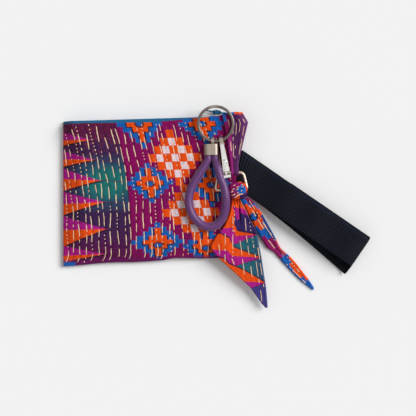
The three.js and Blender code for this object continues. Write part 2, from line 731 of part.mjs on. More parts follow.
// A torsion coil round the pin, beside the gate.
function gateSpring() {
  const radius = GATE_PIN_RADIUS + GAP + SPRING_WIRE;
  const steps = 15;
  const start = -GATE_SLOT / 2 + GATE_WIDTH + 2 * GAP + SPRING_WIRE;
  const rows = [];
  for (let i = 0; i <= steps; i++) {
    const turn = SPRING_TURNS * 2 * Math.PI * i / steps;
    const x = start + SPRING_PITCH * SPRING_TURNS * i / steps;
    rows.push(Array.from({ length: 6 }, (_, k) => {
      const around = k * Math.PI / 3;
      const out = radius + SPRING_WIRE * Math.cos(around);
      return point(x + SPRING_WIRE * Math.sin(around), PIN_Y + out * Math.cos(turn), PIN_Z + out * Math.sin(turn));
    }));
  }
  return loft(rows);
}

// Oval cap that holds both ends of the cord, with the eye that rides on the key ring.
const CAP_TOP_Y = FOB_Y - EYE_HOLE / 2 - CAP_WALL;
const CAP_Z = CROWN_TOP + GAP + CORD_DIAMETER / 2 + CAP_WALL;
const CAP_END_Y = CAP_TOP_Y - CAP_LENGTH;

function fobCap() {
  const half = CORD_DIAMETER / 2 + CAP_WALL;
  const shape = new THREE.Shape();
  shape.absarc(-CORD_DIAMETER / 2, 0, half, Math.PI / 2, 1.5 * Math.PI, false);
  shape.absarc(CORD_DIAMETER / 2, 0, half, -Math.PI / 2, Math.PI / 2, false);
  const cap = slab(shape, 0, CAP_LENGTH, 8).rotateX(Math.PI / 2)
    .translate(FOB_X - CAP_OFFSET, CAP_TOP_Y, CAP_Z);
  const ring = new THREE.Shape().absarc(0, 0, EYE_RADIUS, 0, 2 * Math.PI, false);
  const eye = sideways(ring, EYE_THICK, 10).translate(FOB_X, FOB_Y, EYE_Z);
  const hole = new THREE.Shape().absarc(0, 0, EYE_HOLE / 2, 0, 2 * Math.PI, false);
  const bore = sideways(hole, EYE_THICK + 1, 10).translate(FOB_X, FOB_Y, EYE_Z);
  return cut(joined(cap, eye), bore);
}

// The cord's centreline, measured from the middle of the cap's open end: it leaves one socket, lies in a loop over
// the D-ring and enters the other.
const CORD_POINTS = [
  [-3, -0.4, -0.1],
  [-3, -3.7, -0.1],
  [-5.2, -7.7, -0.1],
  [-12.6, -18.4, -0.1],
  [-18, -27.9, -0.1],
  [-20.5, -37.4, -0.1],
  [-19.8, -45.7, -0.1],
  [-15.8, -53.9, -0.1],
  [-9.8, -59.5, -0.2],
  [-2.9, -61.4, -0.3],
  [3.4, -59.3, -0.3],
  [8, -53.6, 0.4],
  [10.6, -45.7, 2.6],
  [11.2, -37.9, 4.6],
  [10, -28.3, 4.9],
  [6.7, -18.8, 4.9],
  [5, -11.1, 3.6],
  [3.5, -6.3, 1.1],
  [3, -3.7, 0.1],
  [3, -0.4, -0.1],
];

function fobCord() {
  const mouth = point(FOB_X - CAP_OFFSET, CAP_END_Y, CAP_Z);
  const points = CORD_POINTS.map((p) => point(...p).add(mouth));
  const curve = new THREE.CatmullRomCurve3(points, false, 'centripetal');
  return new THREE.ExtrudeGeometry(
    outline(Array.from({ length: 10 }, (_, i) => {
      const turn = i * Math.PI / 5;
      return [CORD_DIAMETER / 2 * Math.cos(turn), CORD_DIAMETER / 2 * Math.sin(turn)];
    })),
    { steps: 64, extrudePath: curve, bevelEnabled: false },
  );
}

// Scarf tied to the D-ring's base bar
const BASE_Y = BAR_Y - D_RING_HEIGHT;
const KNOT_X = D_RING_X + KNOT_OFFSET;
const KNOT_Y = BASE_Y - KNOT_DROP;

function scarfKnot() {
  const ball = new THREE.SphereGeometry(1, 20, 14).rotateX(Math.PI / 2)
    .scale(KNOT_WIDTH / 2, KNOT_DEPTH / 2, KNOT_HEIGHT / 2)
    .translate(KNOT_X, KNOT_Y, BAR_Z);
  return cut(ball, dRing(WIRE_RADIUS + GAP));
}

// The scarf's two folded tails, measured from the knot's middle. Each row: Y, left edge, right edge, underside.
const WIDE_TAIL = [
  [-8, -5, 0.8, 12],
  [-19, -7, 4.8, 10.6],
  [-33, -14.6, 12, 10.2],
  [-47, -25, 16.4, 10.2],
  [-54, -22, 18, 8.6],
  [-65, -9.1, 20.4, 4.6],
  [-85, 8.7, 22.6, FLOOR_GAP],
  [-101, 19.4, 22.8, FLOOR_GAP],
];
const NARROW_TAIL = [
  [-7, 4, 9.6, 12],
  [-15.5, 7, 15.6, 10],
  [-27.6, 12.4, 24.6, 6],
  [-39, 17.8, 31, 2.6],
  [-53.5, 29.8, 40, FLOOR_GAP],
  [-62.5, 36.6, 49.2, FLOOR_GAP],
  [-74, 47.4, 56.6, FLOOR_GAP],
  [-87, 61.4, 63.4, FLOOR_GAP],
];

function scarfTail(rows, folds) {
  const curve = (column) => new THREE.CatmullRomCurve3(rows.map((row, i) => point(i, row[column], 0)));
  const columns = [0, 1, 2, 3].map(curve);
  const place = (u, v) => {
    const [y, left, right, under] = columns.map((column) => column.getPoint(v).y);
    const lift = TAIL_THICK + TAIL_FOLD * (1 + Math.sin(2 * Math.PI * folds * u)) * Math.sin(Math.PI * v);
    return point(KNOT_X + mix(left, right, u), KNOT_Y + y, under + lift);
  };
  const depth = (u, v) => place(u, v).z - columns[3].getPoint(v).y;
  return sheet(10, 20, place, depth);
}

// Strap, drawn along its own length: X along it from the seam, Y across it, Z up
const STRAP_TURN = THREE.MathUtils.degToRad(STRAP_ANGLE);
const SEAM_Y = TOP - STRAP_SEAM_DROP;

function onStrap(geometry) {
  return geometry.rotateZ(STRAP_TURN).translate(rightSide(SEAM_Y), SEAM_Y, 0);
}

const STRAP_ROOT_HEIGHT = 2 * WEBBING_THICK + GAP;

// Both layers of the webbing, stitched together from the side seam on.
function strapRoot() {
  const seamLean = Math.atan2(RIGHT_LEAN, POUCH_HEIGHT);
  const slope = Math.tan(STRAP_TURN + seamLean);
  const half = STRAP_WIDTH / 2;
  const edge = (y) => GAP + 0.2 + y * slope;
  const shape = outline([
    [edge(-half), -half],
    [STRAP_HINGE, -half],
    [STRAP_HINGE, half],
    [edge(half), half],
  ]);
  return onStrap(slab(shape, FLOOR_GAP, STRAP_ROOT_HEIGHT));
}

// The free loop for the wrist: out along the floor, round the far fold and back, the upper layer bowed up.
function wristStrap() {
  const start = STRAP_HINGE + GAP + WEBBING_THICK / 2;
  const end = STRAP_LENGTH - WEBBING_THICK;
  const low = FLOOR_GAP + WEBBING_THICK / 2;
  const near = low + WEBBING_THICK + GAP;
  const high = FLOOR_GAP + STRAP_BULGE;
  const path = new THREE.CatmullRomCurve3([
    point(start, 0, (low + near) / 2),
    point(start + 1.2, 0, low),
    point(start + 8, 0, low),
    point(mix(start, end, 0.3), 0, low),
    point(mix(start, end, 0.65), 0, low),
    point(end - 6, 0, low),
    point(end, 0, (low + high) / 2),
    point(end - 6, 0, high),
    point(mix(start, end, 0.65), 0, high),
    point(mix(start, end, 0.3), 0, high),
    point(mix(start, end, 0.08), 0, mix(near, high, 0.3)),
    point(start + 1.2, 0, near),
  ], true, 'centripetal');
  const steps = 64;
  const half = STRAP_WIDTH / 2;
  const rows = [];
  for (let i = 0; i < steps; i++) {
    const here = path.getPoint(i / steps);
    const along = path.getTangent(i / steps);
    here.z = THREE.MathUtils.clamp(here.z, low, high);
    const out = point(-along.z, 0, along.x).multiplyScalar(WEBBING_THICK / 2);
    const reach = THREE.MathUtils.clamp((here.x - start) / (end - start), 0, 1);
    const under = THREE.MathUtils.clamp((high - here.z) / (high - low), 0, 1);
    const shift = -STRAP_SKEW * reach * reach * under;
    rows.push([
      point(here.x + out.x, -half + shift, here.z + out.z),
      point(here.x + out.x, half + shift, here.z + out.z),
      point(here.x - out.x, half + shift, here.z - out.z),
      point(here.x - out.x, -half + shift, here.z - out.z),
    ]);
  }
  return onStrap(loft(rows, true));
}

const finish = (color, roughness, metalness = 0) => new THREE.MeshStandardMaterial({ color, roughness, metalness });
const quilt = finish(0x80125a, 0.85);
const liningCloth = finish(0x2a2246, 0.8);
const tealTape = finish(0x14699a, 0.8);
const zipTeeth = finish(0x1d5f86, 0.45);
const nickel = finish(0xcdb9aa, 0.3, 1);
const steel = finish(0xd8d8da, 0.15, 1);
const darkNickel = finish(0x7d7370, 0.35, 1);
const satinMetal = finish(0x9e928a, 0.35, 1);
const cordPurple = finish(0x704484, 0.6);
const scarfCloth = finish(0xec540c, 0.8);
const webbing = finish(0x141620, 0.7);

const hardware = new THREE.Group();
hardware.position.set(HOOK_X, BAR_Y, BAR_Z);
hardware.rotation.z = LEAN;

const part = new THREE.Group();
part.add(hardware);

function add(name, geometry, material, parent = part) {
  const mesh = new THREE.Mesh(geometry, material);
  mesh.name = name;
  parent.add(mesh);
}

add('back_panel', backPanel(), quilt);
add('front_panel', frontPanel(), quilt);
add('back_lining', backLining(), liningCloth);
add('front_lining', frontLining(), liningCloth);
add('zip_tape_back', backTape(), tealTape);
add('zip_tape_front', frontTape(), tealTape);
add('zip_teeth_back', teeth(-1), zipTeeth);
add('zip_teeth_front', teeth(1), zipTeeth);
add('zip_bottom_stop', zipStop(ZIP_START), steel);
add('zip_top_stop', zipStop(ZIP_END - STOP_LENGTH), steel);
add('zip_end_tab_left', endTab(-1), tealTape);
add('zip_end_tab_right', endTab(1), tealTape);
add('zip_tape_end', tapeEnd(), tealTape);
add('zip_tape_tail', tapeTail(), tealTape);
add('zip_slider', outerSlider(), nickel);
add('zip_slider_back', sliderPlate(-1), nickel);
add('zip_pull', pull(), nickel);
add('tab_root', tabRoot(), quilt);
add('ring_tab', ringTab(), quilt);
add('d_ring', dRing(WIRE_RADIUS), nickel);
add('scarf_knot', scarfKnot(), scarfCloth);
add('scarf_wide_tail', scarfTail(WIDE_TAIL, 2), scarfCloth);
add('scarf_narrow_tail', scarfTail(NARROW_TAIL, 1), scarfCloth);
add('clasp_body', hookBody(), steel, hardware);
add('clasp_gate', gate(), steel, hardware);
add('clasp_gate_pin', gatePin(), steel, hardware);
add('clasp_spring', gateSpring(), steel, hardware);
add('key_ring', keyRing(), darkNickel);
add('fob_cap', fobCap(), satinMetal);
add('fob_cord', fobCord(), cordPurple);
add('strap_root', strapRoot(), webbing);
add('wrist_strap', wristStrap(), webbing);

export default part;
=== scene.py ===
# Dressed model of a quilted wristlet pouch with its key hardware, lying on its back.
# Shapes are worked out in millimetres and turned to metres where a mesh is made.
import json
import math
import random

import bpy
import numpy as np
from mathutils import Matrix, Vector

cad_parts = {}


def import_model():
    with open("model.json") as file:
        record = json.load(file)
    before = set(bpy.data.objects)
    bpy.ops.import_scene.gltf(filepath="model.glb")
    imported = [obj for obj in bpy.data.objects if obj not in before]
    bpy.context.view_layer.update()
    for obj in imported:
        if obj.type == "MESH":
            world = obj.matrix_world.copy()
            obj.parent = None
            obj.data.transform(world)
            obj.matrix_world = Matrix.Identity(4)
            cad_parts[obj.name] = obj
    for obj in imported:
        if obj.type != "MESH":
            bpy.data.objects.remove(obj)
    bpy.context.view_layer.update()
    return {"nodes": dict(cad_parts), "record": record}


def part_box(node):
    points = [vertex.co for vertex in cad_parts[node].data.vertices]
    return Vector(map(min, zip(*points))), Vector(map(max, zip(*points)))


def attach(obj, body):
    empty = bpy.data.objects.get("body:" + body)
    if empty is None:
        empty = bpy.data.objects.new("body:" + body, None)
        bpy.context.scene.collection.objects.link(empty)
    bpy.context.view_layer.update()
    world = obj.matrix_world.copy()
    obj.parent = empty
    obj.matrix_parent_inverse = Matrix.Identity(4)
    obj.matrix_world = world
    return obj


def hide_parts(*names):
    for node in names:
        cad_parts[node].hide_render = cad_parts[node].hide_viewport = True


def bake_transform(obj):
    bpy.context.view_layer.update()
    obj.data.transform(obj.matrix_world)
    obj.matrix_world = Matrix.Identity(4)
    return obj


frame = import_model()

chance = random.Random(7)
MM = 0.001
UP = np.array([0.0, 0.0, 1.0])

# Places taken from the frame, in millimetres


def node_box(node):
    low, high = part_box(node)
    return np.array(low) / MM, np.array(high) / MM


def joint_place(name):
    found = next(j for j in frame["record"]["behaviour"]["joints"] if j["name"] == name)
    return np.array(found["pos_m"]) / MM


BACK_LOW, BACK_HIGH = node_box("back_panel")
FRONT_LOW, FRONT_HIGH = node_box("front_panel")
TOP = BACK_HIGH[1]
FOOT = BACK_LOW[1]
PANEL_THICK = BACK_HIGH[2] - BACK_LOW[2]
SEAM_TOP = FRONT_LOW[2] + PANEL_THICK
CROWN_TOP = FRONT_HIGH[2]
EAR_TOP = FRONT_HIGH[1]

# Sizes of the pouch
HALF_TOP = 78.5
LEFT_LEAN = 3.5
RIGHT_LEAN = 20.5
POUCH_CROWN = 0.3
EDGE_RAMP = 24
MOUTH_RAMP = 10
TAPE_DEPTH = 8
EAR_LENGTH = 22
EAR_SLOPE = 4
EAR_TIP_LENGTH = 6
EAR_TIP_DROP = 5.5
MOUTH_TOP = CROWN_TOP - POUCH_CROWN
BACK_DROP = 0.8 # the back panel's top edge lies this much lower
PANEL_SPAN = (150, 122) # a panel's width and height, where its distance from the seams is worked out
EDGE_ROUND = 1.2 # how far in from a seam the cloth turns over
EDGE_SLACK = ( # along the zip, and how far the front panel's edge drops below the tape there
    (-80, -60, -42, -5, 10, 25, 38, 47, 51, 57, 61),
    (2.7, 2.3, 2.7, 3.3, 2.8, 1.8, 1.0, 0.3, -0.8, -0.6, 0),
)
FOOT_LIFT = ( # along the foot, and how far it rises
    (-80, -55, -20, 5, 14, 56),
    (-1.8, -0.6, 0.1, 0.6, 2.0, 1.2),
)
FOOT_BAND = 10 # how far up the panels the rise of the foot reaches
TAPE_FOLD = 61.45
TAPE_START = -78.3
TAPE_THICK = 0.6
FLAP_END = 59 # to the left of it the tape's torn end is loose
LINING_THICK = 0.6
LINING_CLEARANCE = 0.8
LINING_INSET = 9
TOUCH_GAP = 0.3

# Sizes of the tab, the strap and the hardware
TAB_LAYER = 0.9
TAB_X = 67.7
TAB_END_X = 68.4
TAB_ROOT_WIDTH = 17.6
TAB_SHOULDER_WIDTH = 20.6
TAB_SHOULDER_DROP = 8.5
TAB_SHOULDER_SHIFT = 3
TAB_END_WIDTH = 6.6
TAB_NECK = 8.7 # from the D-ring's bar to where the two layers part
TAB_LINES = [-0.6, -0.28, 0.02, 0.34, 0.72]
WIRE_RADIUS = 1.35
WIRE_SLACK = 0.08 # keeps the open gate clear of the D-ring
D_RING_TOP = 21.4
D_RING_BASE = 27.6
D_RING_HEIGHT = 14.7
D_RING_CORNER = 4.5
D_RING_FOOT_CORNER = 2.5
RING_WIRE_WIDTH = 2.4 # keeps clear of the hook's eye
RING_WIRE_HEIGHT = 1.2
KEY_RING_JOG = 0.7
KEY_RING_TURNS = 1.87
KEY_RING_START = 118
CAP_HALF = 3.35
CORD_RADIUS = 3
CORD_SWELL = 0.62 # the braid swells away from its cap
BRAID_TWIST = 0.85
STRAP_WIDTH = 30
WEBBING_THICK = 1.8
STRAP_ANGLE = -36.1
STRAP_SEAM_DROP = 44.5
STRAP_HINGE = 31
STRAP_SKEW = 8.5
RIB_PITCH = 2.0

# The cord's centreline, from the middle of the cap's open end
CORD_POINTS = [
    (-3, -0.4, -0.1),
    (-3, -3.7, -0.1),
    (-5.2, -7.7, -0.1),
    (-12.6, -18.4, -0.1),
    (-18, -27.9, -0.1),
    (-20.5, -37.4, -0.1),
    (-19.8, -45.7, -0.1),
    (-15.8, -53.9, -0.1),
    (-9.8, -59.5, -0.2),
    (-2.9, -61.4, -0.3),
    (3.4, -59.3, -0.3),
    (8, -53.6, 0.4),
    (10.6, -45.7, 2.6),
    (11.2, -37.9, 4.6),
    (10, -28.3, 4.9),
    (6.7, -18.8, 4.9),
    (5, -11.1, 3.6),
    (3.5, -6.3, 1.1),
    (3, -3.7, 0.1),
    (3, -0.4, -0.1),
]

# The scarf's knot, and its tails as height, left edge, right edge and underside
KNOT_CENTRE = np.array([70.2, -2.9, 15.95])
KNOT_RADII = np.array([8.4, 7.7, 6.4])
KNOT_SLANT = math.radians(24)
KNOT_FOLDS = [-4.4, 0.2, 4.6]
KNOT_ROWS = [-3.3, -1.6, 1.3, 2.9, 5.4]
KNOT_LIP = [(66.6, -9.0), (68.4, -8.0), (70.6, -6.6), (73.0, -5.9), (75.6, -5.6)]
KNOT_POWERS = (0.72, 0.6, 0.7) # how square the knot is: in plan, from the side, at its top
WIDE_TAIL = [
    (-9.5, 65.0, 71.6, 12.0),
    (-14.2, 64.5, 73.8, 11.5),
    (-21.3, 62.7, 77.2, 10.7),
    (-27.7, 60.2, 80.0, 10.5),
    (-33.0, 57.8, 82.6, 10.3),
    (-38.4, 53.2, 85.4, 10.2),
    (-43.0, 49.3, 86.2, 10.2),
    (-50.6, 45.2, 87.4, 10.2),
    (-59.4, 51.3, 88.9, 9.6),
    (-74.7, 67.3, 90.8, 8.2),
    (-87.0, 79.3, 92.4, 6.6),
    (-101.7, 88.9, 93.3, 4.6),
    (-104.5, 91.7, 93.2, 4.2),
]
NARROW_TAIL = [
    (-9.5, 71.8, 79.4, 12.0),
    (-14.2, 74.0, 85.0, 11.2),
    (-21.0, 77.4, 89.4, 9.4),
    (-27.7, 80.2, 93.1, 7.2),
    (-38.4, 85.8, 98.8, 3.6),
    (-47.2, 90.8, 103.2, 1.6),
    (-53.3, 94.5, 106.0, 0.6),
    (-56.2, 99.8, 108.8, 0.4),
    (-60.4, 103.2, 113.6, 0.35),
    (-67.2, 108.8, 119.4, 0.35),
    (-73.9, 114.6, 124.1, 0.35),
    (-81.5, 121.8, 129.7, 0.35),
    (-88.6, 130.4, 134.1, 0.35),
    (-90.2, 132.6, 133.9, 0.35),
]
NECK_CREASE = 71.4
PINCH_Y = -55
NARROW_START = (74.2, -9)
NARROW_LEAN = 36.2 # degrees from straight down to the right
WIDE_LINES = [
    (65.8, -17, 64.2, -60),
    (67.4, -12, 66.5, -40),
    (58.5, -38, 57.5, -64),
    (62.0, -56, 68.5, -76),
    (70.5, -40, 74.5, -80),
    (75.5, -18, 76.5, -38),
    (76.4, -40, 80.6, -78),
    (81.4, -79, 83.4, -94),
    (79.0, -26, 81.0, -40),
    (81.5, -42, 86.6, -83),
    (87.2, -85, 88.6, -101),
    (85.6, -48, 90.6, -88),
    (52.6, -47, 53.4, -58),
]
NARROW_LINES = [
    (77.0, -11, 94.0, -40),
    (79.5, -11, 99.0, -43),
    (90.0, -29, 102.6, -49),
    (94.0, -44, 101.5, -54),
    (104.0, -60, 127.0, -84.5),
    (110.0, -59.5, 122.0, -75),
]

# Quilting
LINE_PITCH = 5.5
LINE_WIDTH = 0.9
LINE_DEPTH = 0.5
STITCH_HALF = 0.44
STITCH_RISE = 0.26
POUCH_RUNS = (7, 3, 2.6, 1) # how often long, short, dotted and bare stretches come along a line
TAB_RUNS = (4, 1, 0.5, 2)
TAIL_RUNS = (6, 2, 1, 1)
KNOT_RUNS = (0, 3, 0.6, 0.6)
FOOT_TURN = 0.045 # how strongly the quilting lines bend back to the left near the foot
THREAD_LEAN = 10.6 # how far the quilting lines and the print drift to the right down the pouch

# How finely the meshes are divided
FRONT_GRID = (230, 170)
BACK_GRID = (110, 80)
LINING_GRID = (70, 50)
FLAP_GRID = (120, 20)
WIDE_GRID = (120, 200)
NARROW_GRID = (60, 200)
KNOT_RINGS = 90
KNOT_SIDES = 140
TAPE_STEPS = 120
TAB_STEPS = 260
TAB_COLUMNS = 61
STRAP_STEPS = 900
STRAP_COLUMNS = 33
CORD_STEPS = 420
CORD_SIDES = 72
D_RING_SIDES = 28
D_RING_CORNER_STEPS = 14
KEY_RING_STEPS = 300
KEY_RING_SIDES = 20
STITCH_SIDES = 6

# Camera and light
VIEW_CENTRE = (44.4, -16.9, 10)
VIEW_WIDTH = 357.8
VIEW_TURN = -1.7
LENS = 135
SENSOR = 36
SKY_STRENGTH = 0.44
SUN_STRENGTH = 2.85
SUN_WIDTH = 34 # degrees, which sets how soft the shadows are
SUN_FROM = (1.35, 0.6, 1.2)


def srgb(red, green, blue):
    def linear(value):
        value /= 255
        return value / 12.92 if value <= 0.04045 else ((value + 0.055) / 1.055) ** 2.4
    return (linear(red), linear(green), linear(blue), 1)


PLUM = srgb(138, 0, 86)
DEEP_PLUM = srgb(100, 8, 76)
DARK_BAND = srgb(58, 30, 74)
WINE = srgb(84, 18, 62)
RED_WARP = srgb(156, 34, 46)
TEAL_GLOW = srgb(22, 112, 106)
SLATE = srgb(38, 70, 98)
MAGENTA = srgb(170, 20, 130)
RASPBERRY = srgb(142, 14, 92)
ORANGE = srgb(230, 76, 0)
BLUE = srgb(16, 92, 174)
PALE = srgb(228, 208, 216)
INK = srgb(30, 22, 44)
THREAD = srgb(238, 205, 168)
WARM_GREY_STEEL = srgb(172, 158, 146)


# Mesh making


def make(name, points, faces, material, body, slot, maps=None, smooth=True):
    """A piece from points in millimetres. maps gives each point's place on the printed cloth."""
    mesh = bpy.data.meshes.new(name)
    mesh.from_pydata([tuple(p) for p in np.asarray(points) * MM], [], [tuple(f) for f in faces])
    mesh.materials.append(material)
    if maps is not None:
        layer = mesh.uv_layers.new(name="cloth")
        corners = np.empty(len(mesh.loops), dtype=np.int32)
        mesh.loops.foreach_get("vertex_index", corners)
        layer.data.foreach_set("uv", np.asarray(maps, dtype=np.float32)[corners].ravel())
    mesh.polygons.foreach_set("use_smooth", [smooth] * len(mesh.polygons))
    mesh.update()
    piece = bpy.data.objects.new(name, mesh)
    bpy.context.scene.collection.objects.link(piece)
    if body:
        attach(piece, body)
    return piece


def at(*values):
    """Points, or places on a cloth, from their coordinates."""
    return np.stack(np.broadcast_arrays(*values), -1)


def both_sides(x, y):
    """The map of a closed cloth, whose under side is printed like its upper side."""
    return np.tile(at(x, y).reshape(-1, 2), (2, 1))


def units(vectors):
    return vectors / np.maximum(np.linalg.norm(vectors, axis=-1, keepdims=True), 1e-9)


def reach_of(path):
    """The length along a path up to each of its points."""
    return np.concatenate([[0], np.cumsum(np.linalg.norm(np.diff(path, axis=0), axis=1))])


def circle(sides):
    return np.arange(sides) * 2 * np.pi / sides


def grid(across, along):
    """u and v from 0 to 1 over a grid of points, row by row."""
    v, u = np.meshgrid(np.linspace(0, 1, along + 1), np.linspace(0, 1, across + 1), indexing="ij")
    return u, v


def signed_volume(points, faces):
    a, b, c, d = (points[faces[:, k]] - points.mean(0) for k in range(4))
    return (a * np.cross(b, c)).sum() + (a * np.cross(c, d)).sum()


def closed_cloth(top, under):
    """Points and faces of a closed body between two grids of the same size."""
    rows, columns = top.shape[:2]
    count = rows * columns
    points = np.concatenate([top.reshape(-1, 3), under.reshape(-1, 3)])
    index = np.arange(count).reshape(rows, columns)
    a, b = index[:-1, :-1].ravel(), index[:-1, 1:].ravel()
    c, d = index[1:, 1:].ravel(), index[1:, :-1].ravel()
    rim = np.concatenate([index[0, :-1], index[:-1, -1], index[-1, :0:-1], index[:0:-1, 0]])
    onward = np.roll(rim, -1)
    skirt = np.stack([rim, onward, onward + count, rim + count], 1)
    faces = np.concatenate([np.stack([a, d, c, b], 1), np.stack([a, b, c, d], 1) + count, skirt])
    return points, faces if signed_volume(points, faces) > 0 else faces[:, ::-1]


def cloth_piece(name, nodes, top, under, material, body, slot, maps):
    """A closed cloth between two grids, in place of the given nodes."""
    piece = make(name, *closed_cloth(top, under), material, body, slot, maps)
    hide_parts(*nodes)
    return piece


def tube_faces(points, rows, sides, endless=False):
    """Outward faces of a tube of rings of points, with a cap at each end unless it closes on itself."""
    index = np.arange(rows * sides).reshape(rows, sides)
    near, far = (index, np.roll(index, -1, 0)) if endless else (index[:-1], index[1:])
    quads = np.stack([near, far, np.roll(far, -1, 1), np.roll(near, -1, 1)], -1).reshape(-1, 4)
    caps = [] if endless else [index[0], index[-1][::-1]]
    if signed_volume(points, quads) < 0:
        quads = quads[:, [0, 3, 2, 1]]
        caps = [cap[::-1] for cap in caps]
    return [list(face) for face in (*quads, *caps)]


def tube_mesh(path, radius, sides, relief=None, endless=False):
    """A tube along a path. relief(around, along) swells it, and along counts in millimetres."""
    along = units(np.roll(path, -1, 0) - np.roll(path, 1, 0) if endless else np.gradient(path, axis=0))
    side = units(np.cross(along, (0, 0, 1)))
    up = np.cross(side, along)
    turn = circle(sides)
    size = np.full((len(path), sides), float(radius))
    if relief:
        size += relief(turn, reach_of(path)[:, None])
    ring = side[:, None] * np.cos(turn)[:, None] + up[:, None] * np.sin(turn)[:, None]
    points = (path[:, None] + ring * size[..., None]).reshape(-1, 3)
    return points, tube_faces(points, len(path), sides, endless)


def smooth_curve(points, count):
    """Evenly spaced points on a smooth curve through the given ones."""
    points = np.asarray(points, float)
    gaps = np.sqrt(np.linalg.norm(np.diff(points, axis=0), axis=1))
    knots = np.concatenate([[0], np.cumsum(gaps)])
    slope = np.gradient(points, knots, axis=0)
    fine = np.linspace(0, knots[-1], count * 6)
    span = np.clip(np.searchsorted(knots, fine, side="right") - 1, 0, len(knots) - 2)
    width = (knots[span + 1] - knots[span])[:, None]
    t = ((fine - knots[span]) / width[:, 0])[:, None]
    curve = ((2 * t**3 - 3 * t**2 + 1) * points[span] + (t**3 - 2 * t**2 + t) * width * slope[span]
             + (3 * t**2 - 2 * t**3) * points[span + 1] + (t**3 - t**2) * width * slope[span + 1])
    reach = reach_of(curve)
    even = np.linspace(0, reach[-1], count)
    return np.stack([np.interp(even, reach, curve[:, k]) for k in range(3)], 1)


def way_out(line):
    """The way out of a line of places in a plane, at each of them."""
    along = units(np.gradient(line, axis=0))
    return at(along[:, 1], -along[:, 0])


# Shader arithmetic


class Wire:
    """A number in a material's node tree. The usual signs work on it."""

    def __init__(self, socket):
        self.socket = socket

    def __add__(self, other):
        return maths("ADD", self, other)

    def __sub__(self, other):
        return maths("SUBTRACT", self, other)

    def __rsub__(self, other):
        return maths("SUBTRACT", other, self)

    def __mul__(self, other):
        return maths("MULTIPLY", self, other)

    def __truediv__(self, other):
        return maths("DIVIDE", self, other)

    def __lt__(self, other):
        return maths("LESS_THAN", self, other)

    def __gt__(self, other):
        return maths("GREATER_THAN", self, other)

    def __abs__(self):
        return maths("ABSOLUTE", self)

    __radd__ = __add__
    __rmul__ = __mul__


def feed(socket, value):
    """Gives a socket a value, or links a wire or another socket to it."""
    source = value.socket if isinstance(value, Wire) else value
    if isinstance(source, bpy.types.NodeSocket):
        socket.id_data.links.new(source, socket)
    else:
        socket.default_value = source


def new_node(beside, kind, **inputs):
    """A node in the tree that holds the given node or socket."""
    node = beside.id_data.nodes.new("ShaderNode" + kind)
    for name, value in inputs.items():
        feed(node.inputs[name], value)
    return node


def maths(operation, *values):
    node = new_node(next(v.socket for v in values if isinstance(v, Wire)), "Math")
    node.operation = operation
    for socket, value in zip(node.inputs, values):
        feed(socket, value)
    return Wire(node.outputs[0])


def sine(wire):
    return maths("SINE", wire)


def whole(wire):
    return maths("ROUND", wire)


def clamped(wire):
    return Wire(new_node(wire.socket, "Clamp", Value=wire).outputs[0])


def noise(vector, scale, detail):
    return Wire(new_node(vector, "TexNoise", Vector=vector, Scale=scale, Detail=detail).outputs["Fac"])


def parts_of(vector):
    return [Wire(socket) for socket in new_node(vector, "SeparateXYZ", Vector=vector).outputs]


class Paint:
    """A colour in a node tree that more colours are laid over."""

    def __init__(self, colour):
        self.colour = colour

    def over(self, colour, share):
        node = new_node(share.socket, "Mix")
        node.data_type = "RGBA"
        for name, value in (("Factor", share), ("A", self.colour), ("B", colour)):
            feed(node.inputs[name], value)
        self.colour = node.outputs["Result"]
        return self


def new_material(name, roughness, specular=0.5, sheen=0.0, metallic=0.0):
    material = bpy.data.materials.new(name)
    material.use_nodes = True
    shader = material.node_tree.nodes["Principled BSDF"]
    shader.inputs["Roughness"].default_value = roughness
    shader.inputs["Specular IOR Level"].default_value = specular
    shader.inputs["Sheen Weight"].default_value = sheen
    shader.inputs["Metallic"].default_value = metallic
    return material, shader


def coat(shader, paint, height, distance, strength):
    """Gives a shader its colour and the fine relief of its surface."""
    relief = new_node(shader, "Bump", Distance=distance * MM, Strength=strength, Height=height)
    feed(shader.inputs["Normal"], relief.outputs["Normal"])
    feed(shader.inputs["Base Color"], paint.colour)


def cloth_place(shader):
    """The point's place on the flat cloth, as a vector and as two wires, in millimetres."""
    node = new_node(shader, "UVMap")
    node.uv_map = "cloth"
    x, y, _ = parts_of(node.outputs["UV"])
    return node.outputs["UV"], x, y


def object_place(shader):
    return new_node(shader, "TexCoord").outputs["Object"]


# The print: stepped diamonds, chequered diamonds and a band of long points, all common in ikat weaving

BAND_START = -79.6
BAND_EDGE = -33.4
DRIFT_START = 57.7 # the print leans from here down
DRIFT_REACH = 77.7
DIAMONDS = [ # middle across and up, cell width and height, drop of the heart
    (-12.8, 57.1, 4.3, 4.7, 0.0),
    (-14.0, 6.1, 4.5, 3.8, 0.2),
    (-10.0, -44.8, 5.1, 3.7, 0.75),
    (40.9, 55.5, 4.5, 4.0, 0.0),
    (38.1, 2.8, 4.2, 4.2, 0.0),
    (31.1, -49.5, 4.4, 3.8, 0.5),
]
OUTLINE_SHIFTS = [(1.25, 0.8), (-1.0, 0.8)]
CHEQUERS = [ # middle across and up, cell width and height, lean
    (11.4, 27.2, 6.5, 6.9, 0.0),
    (19.0, -20.1, 6.9, 6.9, 0.2),
]
POINTS = [ # at the band's outer edge: top, meeting of the two colours, foot; then the tip across and up
    (52.2, 45.3, 40.5, -54, 44.6),
    (36.3, 28.9, 22.4, -51, 27.3),
    (20.8, 11.8, 1.6, -47, 9.5),
    (0.8, -9.7, -19.2, -44, -9.1),
    (-20.4, -32.1, -45.8, -43, -32.3),
    (-46.2, -54.4, -59.8, -45, -53.8),
]
WIDE_START = 45
WIDE_POINTS = [ # at the wide tail's left: the same five, and the bend of the point's upper edge
    (-32.0, -42.7, -57.6, 85.2, -41.1, 1.0),
    (-42.8, -57.2, -73.6, 88.7, -60.9, 1.0),
    (-62.0, -78.3, -98.0, 91.8, -82.8, 1.6),
]
